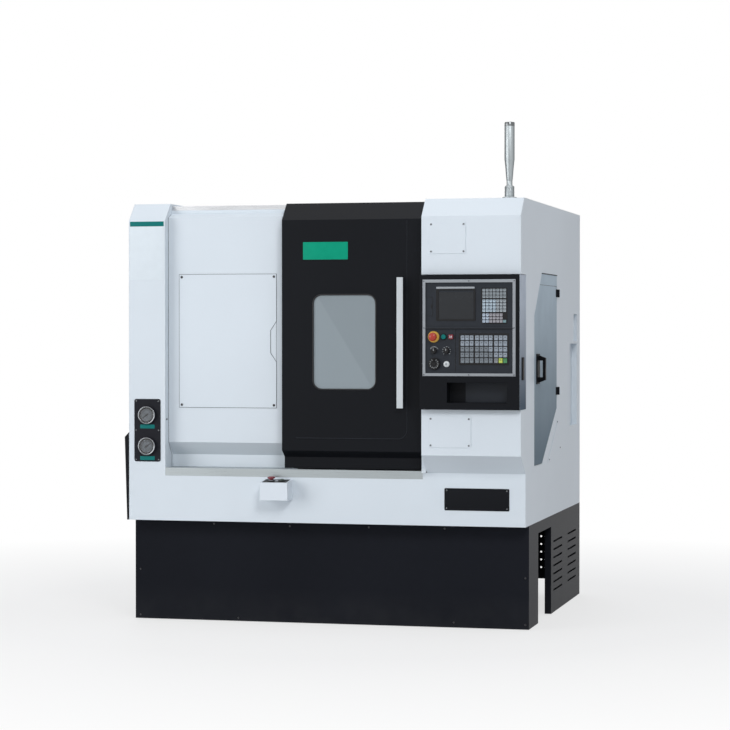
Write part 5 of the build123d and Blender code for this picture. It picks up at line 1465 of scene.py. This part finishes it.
@dataclass
class ControlDesk:
    """Keys, buttons, knobs, strips and screws of the control box."""

    shop: Shop
    estop: Point = (527.5, 1295.0)
    start: Point = (571.5, 1295.0)
    hold: Point = (604.5, 1295.0)
    mode: Point = (529.5, 1234.08)
    feed: Point = (584.5, 1234.08)
    dial: Point = (531.5, 1178.08)
    indicator: Point = (584.5, 1177.0)
    data_pad: KeyPad = KeyPad("data", (737.5, 851.5, 1351.08, 1507.08), (7,), (3, 4, 3), 4.0)
    operator_pad: KeyPad = KeyPad("operator", (638.5, 859.5, 1173.08, 1310.08), (3, 4, 3), (5,))
    pad_sheet: Sheet = (3.0, 1.0, 0.4)
    key_rise: float = 2.4
    screen_frame: Box = (538.7, 712.0, 1364.0, 1502.0)
    screen_opening: Box = (549.0, 704.0, 1371.7, 1496.5)
    light_strip: Box = (538.7, 708.0, 1503.0, 1512.0)
    strip_sheet: Sheet = (1.5, 1.4, 0.5)
    card_door: Box = (489.6, 523.0, 1386.0, 1467.0)
    face_seam_shadows: tuple[tuple[Point, Point], ...] = (
        ((489.0, 1331.5), (880.0, 1331.5)), ((624.0, 1330.0), (624.0, 1144.0)),
    )
    cheek_sheet: Sheet = (1.0, 0.8, 0.0)
    port_cover: Box = (-800.0, -754.0, 1108.0, 1206.0)
    cover_sheet: Sheet = (4.0, 5.0, 1.5)
    cubby_lining: Box = (655.0, 849.0, -43.0, 43.0)
    lining_sheet: Sheet = (1.0, 1.0, 0.0)
    cubby_back: Point = (-771.0, 1052.5)
    bezel_inset: float = 6.5
    bezel_screw: float = 2.6
    mark_colour: Colour = (0.04, 0.045, 0.05)
    estop_head: Profile = (
        (0, -24), (10.5, -24), (10.5, 16), (12.5, 17), (17, 18.4), (18.2, 20.4), (18.2, 25), (16.8, 29),
        (13, 32.4), (7, 34.5), (0, 35),
    )
    estop_collar: Profile = ((12.5, 0), (25, 0), (25, 2), (23.5, 4.5), (15, 6), (12.5, 6), (12.5, 0))
    start_lens: Profile = ((0, -24), (10.6, -24), (10.6, 7.6), (9.8, 9.2), (8, 9.8), (0, 10))
    start_collar: Profile = ((11.6, 0), (14.6, 0), (14.6, 1.6), (13.6, 2.6), (11.6, 2.6), (11.6, 0))
    indicator_body: Profile = ((0, 0), (13, 0), (13, 3), (12, 4.2), (10.6, 4.6), (10, 7), (7, 8.4), (0, 9))
    indicator_centre: Profile = ((0, 8.2), (5.4, 8.2), (5.4, 9), (4.8, 9.5), (0, 9.7))
    knob: Profile = (
        (0, -24), (4.8, -24), (4.8, 0.4), (12.8, 0.4), (13, 1), (13, 4), (11.6, 5), (10.8, 16.6), (9.6, 17.8), (0, 18),
    )
    wheel: Profile = (
        (0, -24), (5.8, -24), (5.8, 0.4), (25, 0.4), (25.2, 1), (25.2, 11), (24, 13.4), (22, 14.2), (19, 13.6),
        (15, 12.4), (9, 12.4), (7.5, 14.2), (0, 14.3),
    )
    crank: Profile = ((0, 12.4), (3, 12.4), (3, 15), (4.4, 16.5), (5, 20), (4.6, 27.5), (3.2, 29.8), (0, 30.2))
    crank_reach: float = 16.1

    def __post_init__(self) -> None:
        """Read the face plate's plane from the frame."""
        self.face = front_of("control_faceplate")

    def seat(self, spot: Point, lift: float = 0.0) -> Matrix:
        """Give a place over the face plate by its X and Z, its own Z out of the plate."""
        return Facing.FRONT.at(spot[0], self.face - lift, spot[1])

    def build(self) -> None:
        """Make all of it."""
        self.press_keys()
        self.fit_stop()
        self.fit_push_buttons()
        self.fit_knobs()
        self.fit_handwheel()
        self.trim()
        self.line_cheek()

    def data_tint(self, column: int, row: int) -> Colour | None:
        """Colour a key of the data pad, rows counted from the top, or leave its place bare."""
        if row < 3:
            return (0.26, 0.295, 0.32)
        if row < 7:
            return (0.44, 0.54, 0.62) if column < 4 else (0.34, 0.38, 0.41)
        if column == 6:
            return (0.20, 0.33, 0.36) if row == 9 else None
        return (0.44, 0.52, 0.62) if column < 2 else (0.34, 0.33, 0.36)

    def operator_tint(self, column: int, row: int) -> Colour | None:
        """Colour a key of the operator pad, rows counted from the top."""
        if row < 2 or (column, row) == (6, 2):
            return (0.27, 0.31, 0.36)
        if column < 7:
            return (0.165, 0.19, 0.215)
        lamps = {(8, 4): (0.50, 0.60, 0.09), (9, 4): (0.05, 0.22, 0.08), (7, 4): (0.22, 0.235, 0.25)}
        return lamps.get((column, row), (0.27, 0.31, 0.36))

    def press_keys(self) -> None:
        """Lay the two pads and set their keys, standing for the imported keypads."""
        self.lay_pad(self.data_pad, self.data_tint, ["keypads"])
        self.lay_pad(self.operator_pad, self.operator_tint, [])

    def lay_pad(self, pad: KeyPad, tint: Tint, replaced: Sequence[str]) -> None:
        """Lay one pad, its keys and the keys' dark marks.

        Args:
            pad: The pad.
            tint: What gives a key's colour by column and row.
            replaced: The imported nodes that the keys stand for.
        """
        self.shop.cut(f"{pad.label}_pad", pad.box, self.pad_sheet, self.seat((0, 0)),
                      "frame", "black_plastic", "black_plastic")
        left, right, low, high = pad.box
        spots, tints = [], []
        for row, drop in enumerate(pad.middles(high - low, pad.rows)):
            for column, along in enumerate(pad.middles(right - left, pad.columns)):
                colour = tint(column, row)
                if colour:
                    spots.append(Vector((along, -drop, self.pad_sheet[1])))
                    tints.append(colour)
        wide, tall = pad.pitch(right - left, pad.columns), pad.pitch(high - low, pad.rows)
        cap = (pad.key_share * wide, pad.key_share * tall, self.key_rise, 1.6, 0.88)
        self.set_caps(f"{pad.label}_keys", pad, spots, tints, cap, replaced)
        marks = [spot + Vector((0, 0.12 * tall, self.key_rise)) for spot in spots]
        self.set_caps(f"{pad.label}_key_marks", pad, marks, [self.mark_colour] * len(marks),
                      (0.42 * wide, 0.13 * tall, 0.12, 0.2, 0.95), [])

    def set_caps(
        self, name: str, pad: KeyPad, spots: Sequence[Vector], tints: Sequence[Colour],
        cap: tuple[float, float, float, float, float], replaced: Sequence[str],
    ) -> None:
        """Set tinted caps on a pad.

        Args:
            name: The piece's name.
            pad: The pad.
            spots: The caps' places from the pad's upper left corner.
            tints: Their colours.
            cap: A cap's width, height, rise, corner and draft.
            replaced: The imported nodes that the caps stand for.
        """
        mesh = point_mesh(spots)
        colours = mesh.attributes.new("tint", "FLOAT_COLOR", "POINT")
        for item, colour in zip(colours.data, tints):
            item.color = (*colour, 1.0)
        *lengths, draft = cap
        sizes = dict(zip(("Key Width", "Key Height", "Key Rise", "Corner"), (length * MM for length in lengths)))
        place = self.seat((pad.box[0], pad.box[3])) @ Matrix.Scale(1 / MM, 4)
        values = {**sizes, "Draft": draft, "Material": self.shop.palette["key_grey"]}
        self.shop.fit(self.shop.keys.bake(name, mesh, values, place), "frame", "key_grey", "", replaced)

    def fit_stop(self) -> None:
        """Turn the mushroom button and its coloured collar."""
        place = self.seat(self.estop)
        head = turned("estop_mushroom", self.estop_head, [place])
        self.shop.fit(head, "estop", "red_plastic", "red_plastic", ["estop_button"])
        self.shop.fit(turned("estop_collar", self.estop_collar, [place]), "frame", "red_plastic", "yellow_plastic")

    def fit_push_buttons(self) -> None:
        """Make the start and hold buttons, the round indicator and their collars."""
        lens = turned("cycle_start_lens", self.start_lens, [self.seat(self.start)])
        self.shop.fit(lens, "cycle_start", "green_plastic", "teal_print", ["cycle_start_button"])
        hold = plates("feed_hold_lens", rounded_rectangle(20, 20, 2.0), 33.0, [self.seat(self.hold, -24.0)], 1.4)
        self.shop.fit(hold, "feed_hold", "red_plastic", "maroon_plastic", ["feed_hold_button"])
        bars = plates("feed_hold_mark", rounded_rectangle(3, 10, 0.4), 0.4,
                      [self.seat((self.hold[0] + side, self.hold[1]), 9.0) for side in (-3, 3)])
        self.shop.fit(bars, "feed_hold", "key_grey", "white_plastic")
        for name, profile, spot, slot, finish in (
            ("start_collar", self.start_collar, self.start, "black_plastic", "black_plastic"),
            ("round_indicator", self.indicator_body, self.indicator, "key_grey", "white_plastic"),
            ("indicator_centre", self.indicator_centre, self.indicator, "aluminium", "aluminium"),
        ):
            self.shop.fit(turned(name, profile, [self.seat(spot)]), "frame", slot, finish)

    def fit_knobs(self) -> None:
        """Turn the two selector knobs, with grip ridges, a pointer and a printed scale."""
        for body, spot, scale in (("mode_knob", self.mode, (18, 30, 120)), ("feed_knob", self.feed, (18, -45, 270))):
            place = self.seat(spot)
            cap = turned(f"{body}_cap", self.knob, [place])
            self.shop.fit(cap, body, "black_plastic", "black_plastic", [body])
            self.shop.ring(f"{body}_ridges", place, 10.6, (11.4, 0, 345), (1.3, 1.3, 10.5), 24, "black_plastic", body)
            pointer = plates(f"{body}_pointer", rounded_rectangle(1.8, 9.0, 0.6), 0.5,
                             [place @ Matrix.Translation((0, 5.4, 17.9))])
            self.shop.fit(pointer, body, "key_grey", "white_plastic")
            self.shop.ring(f"{body}_marks", place, 0.15, scale, (1.6, 4.0, 0.3), 9,
                           "white_plastic", "frame", "key_grey")

    def fit_handwheel(self) -> None:
        """Turn the pulse handwheel with its crank, knurl and white divisions."""
        place = self.seat(self.dial)
        wheel = turned("handwheel", self.wheel, [place])
        self.shop.fit(wheel, "dial", "black_plastic", "black_plastic", ["handwheel_dial"])
        crank = turned("handwheel_crank", self.crank, [place @ Matrix.Translation((0, self.crank_reach, 0))], 32)
        self.shop.fit(crank, "dial", "black_plastic", "black_plastic")
        self.shop.ring("handwheel_knurl", place, 6.2, (25.2, 0, 354), (1.5, 1.4, 9.0), 60, "black_plastic", "dial")
        self.shop.ring("handwheel_divisions", place, 13.4, (18, 0, 330), (1.6, 5.0, 1.0), 12, "white_plastic", "dial")

    def trim(self) -> None:
        """Add the trim of the screen, dark beads of painted shadow in the face's seams and round the card door, the
        card door's latch, the cubby's lining and the bezel's screws.
        """
        frame = rim_plate("screen_frame", box_outline(self.screen_frame, 4.0), box_outline(self.screen_opening, 2.0),
                          2.4, self.seat((0, 0)))
        self.shop.fit(frame, "frame", "black_plastic", "black_plastic")
        self.shop.cut("screen_strip", self.light_strip, self.strip_sheet, self.seat((0, 0)),
                      "frame", "aluminium", "aluminium")
        lip = self.face - 0.1
        low, high = span_of("control_bezel")
        middle = ((low.x + high.x) / 2, (low.z + high.z) / 2)
        divider = plates("bezel_divider", rounded_rectangle(high.x - low.x - 26, 10.0, 0.6), 0.7,
                         [Facing.FRONT.at(middle[0], low.y, middle[1] - 0.4)], 0.2)
        self.shop.fit(divider, "frame", "panel_grey", "panel_grey")
        # Painted shadow: dark beads stand for the shade in the face's seams.
        across, upright = self.face_seam_shadows
        runs = [[(x, low.y - 0.7, z) for x, z in across], [(x, lip, z) for x, z in upright]]
        self.shop.line("face_seam_shadows", runs, 1.1, 0.0, "black_plastic", "frame")
        # Painted shadow: a dark bead stands for the shade in the gap round the card door.
        left, right, bottom, top = self.card_door
        outline = [(left, lip, bottom), (right, lip, bottom), (right, lip, top), (left, lip, top)]
        self.shop.line("card_door_gap_shadow", [outline], 0.8, 3.0, "black_plastic", "frame", True)
        latch = plates("card_door_latch", rounded_rectangle(5, 16, 2.0), 1.6,
                       [self.seat((right - 5, (bottom + top) / 2))], 0.6)
        self.shop.fit(latch, "frame", "black_plastic", "black_plastic")
        self.shop.cut("cubby_lining", self.cubby_lining, self.lining_sheet, Facing.FRONT.at(0, *self.cubby_back),
                      "frame", "panel_grey", "panel_grey")
        inset = self.bezel_inset
        seats = [((x, low.y, z), Facing.FRONT) for x in (low.x + inset, middle[0], high.x - inset)
                 for z in (low.z + inset, middle[1], high.z - inset) if (x, z) != middle]
        self.shop.fasten("bezel_screws", seats, self.bezel_screw, "black_screw", "frame")

    def line_cheek(self) -> None:
        """Line the box's right cheek with a thin plate and set the port's cover on it."""
        low, high = span_of("control_box")
        side = (low.y, high.y, low.z, high.z)
        self.shop.cut("control_cheek", side, self.cheek_sheet, Facing.RIGHT.at(high.x, 0, 0),
                      "frame", "stainless", "cheek_satin")
        place = Facing.RIGHT.at(high.x + self.cheek_sheet[1], 0, 0)
        self.shop.cut("port_cover", self.port_cover, self.cover_sheet, place, "frame", "black_plastic", "dull_black")


@dataclass
class SignalLamp:
    """The lamp on the roof: flange, ribbed socket, stem and tapered head."""

    shop: Shop
    middle: Point = (823.5, -638.0)
    base: float = 1900.0
    stem: Profile = (
        (0, 0), (31.5, 0), (32, 0.8), (32, 6), (30, 8), (23, 8.6), (21, 10), (20.4, 54), (18.5, 57), (14, 58),
        (13, 60), (13, 79), (0, 79),
    )
    cover: Profile = (
        (0, 79), (12.8, 79), (13.2, 80), (15, 96), (18.6, 140), (21.6, 168), (22.3, 172), (22.3, 331),
        (21, 335.4), (18, 337), (0, 337),
    )
    cap: Profile = (
        (20.6, 319), (22.9, 319), (23, 320), (23, 331.4), (21.6, 335.9), (18.2, 337), (17.6, 336.4), (20.6, 330),
        (20.6, 319),
    )
    rib: Place = (20.4, 1.5, 6.0)
    rib_count: int = 7
    rib_foot: float = 15.0

    def build(self) -> None:
        """Make the mast, its ribs, the head and the head's bands."""
        place = Facing.UP.at(*self.middle, self.base)
        self.shop.fit(turned("lamp_stem", self.stem, [place]), "frame", "chrome", "lamp_chrome", ["lamp_mast"])
        sizes = dict(zip(("Radius", "Rib Radius", "Pitch"), (size * MM for size in self.rib)))
        values = {**sizes, "Count": self.rib_count, "Material": self.shop.palette["lamp_chrome"]}
        foot = Matrix.Translation(Vector((*self.middle, self.base + self.rib_foot)) * MM)
        self.shop.fit(self.shop.ribs.bake("lamp_ribs", point_mesh([]), values, foot), "frame", "chrome")
        self.shop.fit(turned("lamp_cover", self.cover, [place]), "frame", "chrome", "lamp_chrome", ["lamp_head"])
        self.shop.fit(turned("lamp_cap", self.cap, [place]), "frame", "chrome", "lamp_rib")


@dataclass
class Studio:
    """The floor, the light and the camera."""

    floor_reach: float = 9.0
    fade: Point = (1.7, 4.2)
    near_white: float = 0.68
    ambient: float = 0.29
    soft_colour: Colour = (0.91, 0.97, 1.08)
    camera_place: Place = (2.6692, -10.7654, 1.3139)
    camera_dip: float = 0.0139
    camera_turn: float = 0.2419
    lens: float = 115.37
    sensor: float = 36.0
    lamps: tuple[tuple[str, Place, float, float], ...] = (
        ("key_light", (3.2, -6.9, 5.2), 2.2, 208.0), ("fill_light", (-6.2, -6.4, 2.4), 5.0, 290.0),
        ("top_light", (0.3, -0.6, 6.2), 5.0, 90.0), ("back_light", (-2.5, 7.0, 4.5), 4.5, 115.0),
    )

    def build(self) -> None:
        """Make all of it."""
        bpy.context.scene.view_settings.view_transform = "Standard"
        self.lay_floor()
        self.light_world()
        for lamp in self.lamps:
            self.hang_lamp(*lamp)
        self.set_camera()

    def lay_floor(self) -> None:
        """Lay a pale floor that keeps the shadow near the object and fades to white far away."""
        shape = bmesh.new()
        bmesh.ops.create_grid(shape, x_segments=1, y_segments=1, size=self.floor_reach)
        floor = settle("studio_floor", shape)
        tree = ShaderTree("pale_floor")
        place = tree.place()
        grain = tree.noise(place, 30.0)
        tree.feed({
            "Base Color": tree.mix(grain, (0.75, 0.75, 0.75, 1.0), (0.77, 0.77, 0.77, 1.0)), "Roughness": 0.7,
            "Specular IOR Level": 0.1,
        })
        far = tree.node("ShaderNodeVectorMath", {0: place}, operation="LENGTH").outputs["Value"]
        share = tree.span(far, *self.fade, self.near_white, 1.0)
        share = tree.math("MULTIPLY", share, tree.seen())
        white = tree.out("ShaderNodeEmission", {"Color": (1, 1, 1, 1), "Strength": 1.0})
        mixed = tree.node("ShaderNodeMixShader", {0: share, 1: tree.shader.outputs[0], 2: white})
        tree.tree.links.new(mixed.outputs[0], tree.tree.nodes["Material Output"].inputs["Surface"])
        floor.data.materials.append(tree.material)

    def light_world(self) -> None:
        """Give the world a soft level, and white where it is seen or mirrored."""
        world = bpy.data.worlds.new("studio_world")
        bpy.context.scene.world = world
        world.use_nodes = True
        tree = Wiring(world.node_tree)
        seen = tree.seen()
        strength = tree.math("ADD", tree.math("MULTIPLY", seen, 1.0 - self.ambient), self.ambient)
        inputs = {0: seen, 6: (*self.soft_colour, 1.0), 7: (1.0, 1.0, 1.0, 1.0)}
        colour = tree.node("ShaderNodeMix", inputs, data_type="RGBA").outputs[2]
        background = world.node_tree.nodes["Background"]
        world.node_tree.links.new(colour, background.inputs["Color"])
        world.node_tree.links.new(strength, background.inputs["Strength"])

    def hang_lamp(self, name: str, place: Place, size: float, power: float) -> None:
        """Hang a square soft lamp that looks at the object's middle.

        Args:
            name: Its name.
            place: Its place in metres.
            size: Its side in metres.
            power: Its power in watts.
        """
        data = bpy.data.lights.new(name, "AREA")
        data.size = size
        data.energy = power
        lamp = bpy.data.objects.new(name, data)
        lamp.location = place
        lamp.rotation_euler = (Vector((0.0, 0.0, 1.0)) - Vector(place)).to_track_quat("-Z", "Y").to_euler()
        bpy.context.scene.collection.objects.link(lamp)

    def set_camera(self) -> None:
        """Set the camera at the photograph's angle."""
        data = bpy.data.cameras.new("studio_camera")
        data.lens = self.lens
        data.sensor_width = self.sensor
        camera = bpy.data.objects.new("studio_camera", data)
        camera.location = self.camera_place
        camera.rotation_euler = (math.pi / 2 - self.camera_dip, 0.0, self.camera_turn)
        bpy.context.scene.collection.objects.link(camera)
        bpy.context.scene.camera = camera


def main() -> None:
    """Load the frame, dress it, and add the fine parts and the studio."""
    logging.basicConfig(level=logging.INFO, format="%(name)s: %(message)s")
    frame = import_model()
    palette = Palette(FINISHES)
    palette.dress_nodes(frame)
    shop = Shop(palette, ScrewField(), KeyField(), TickRing(), Beading(), RibStack())
    for assembly in (Enclosure, SlidingDoor, GaugePanel, ButtonStation, ControlDesk, SignalLamp):
        LOG.info("building %s", assembly.__name__)
        assembly(shop).build()
    Studio().build()


if __name__ == "__main__":
    main()
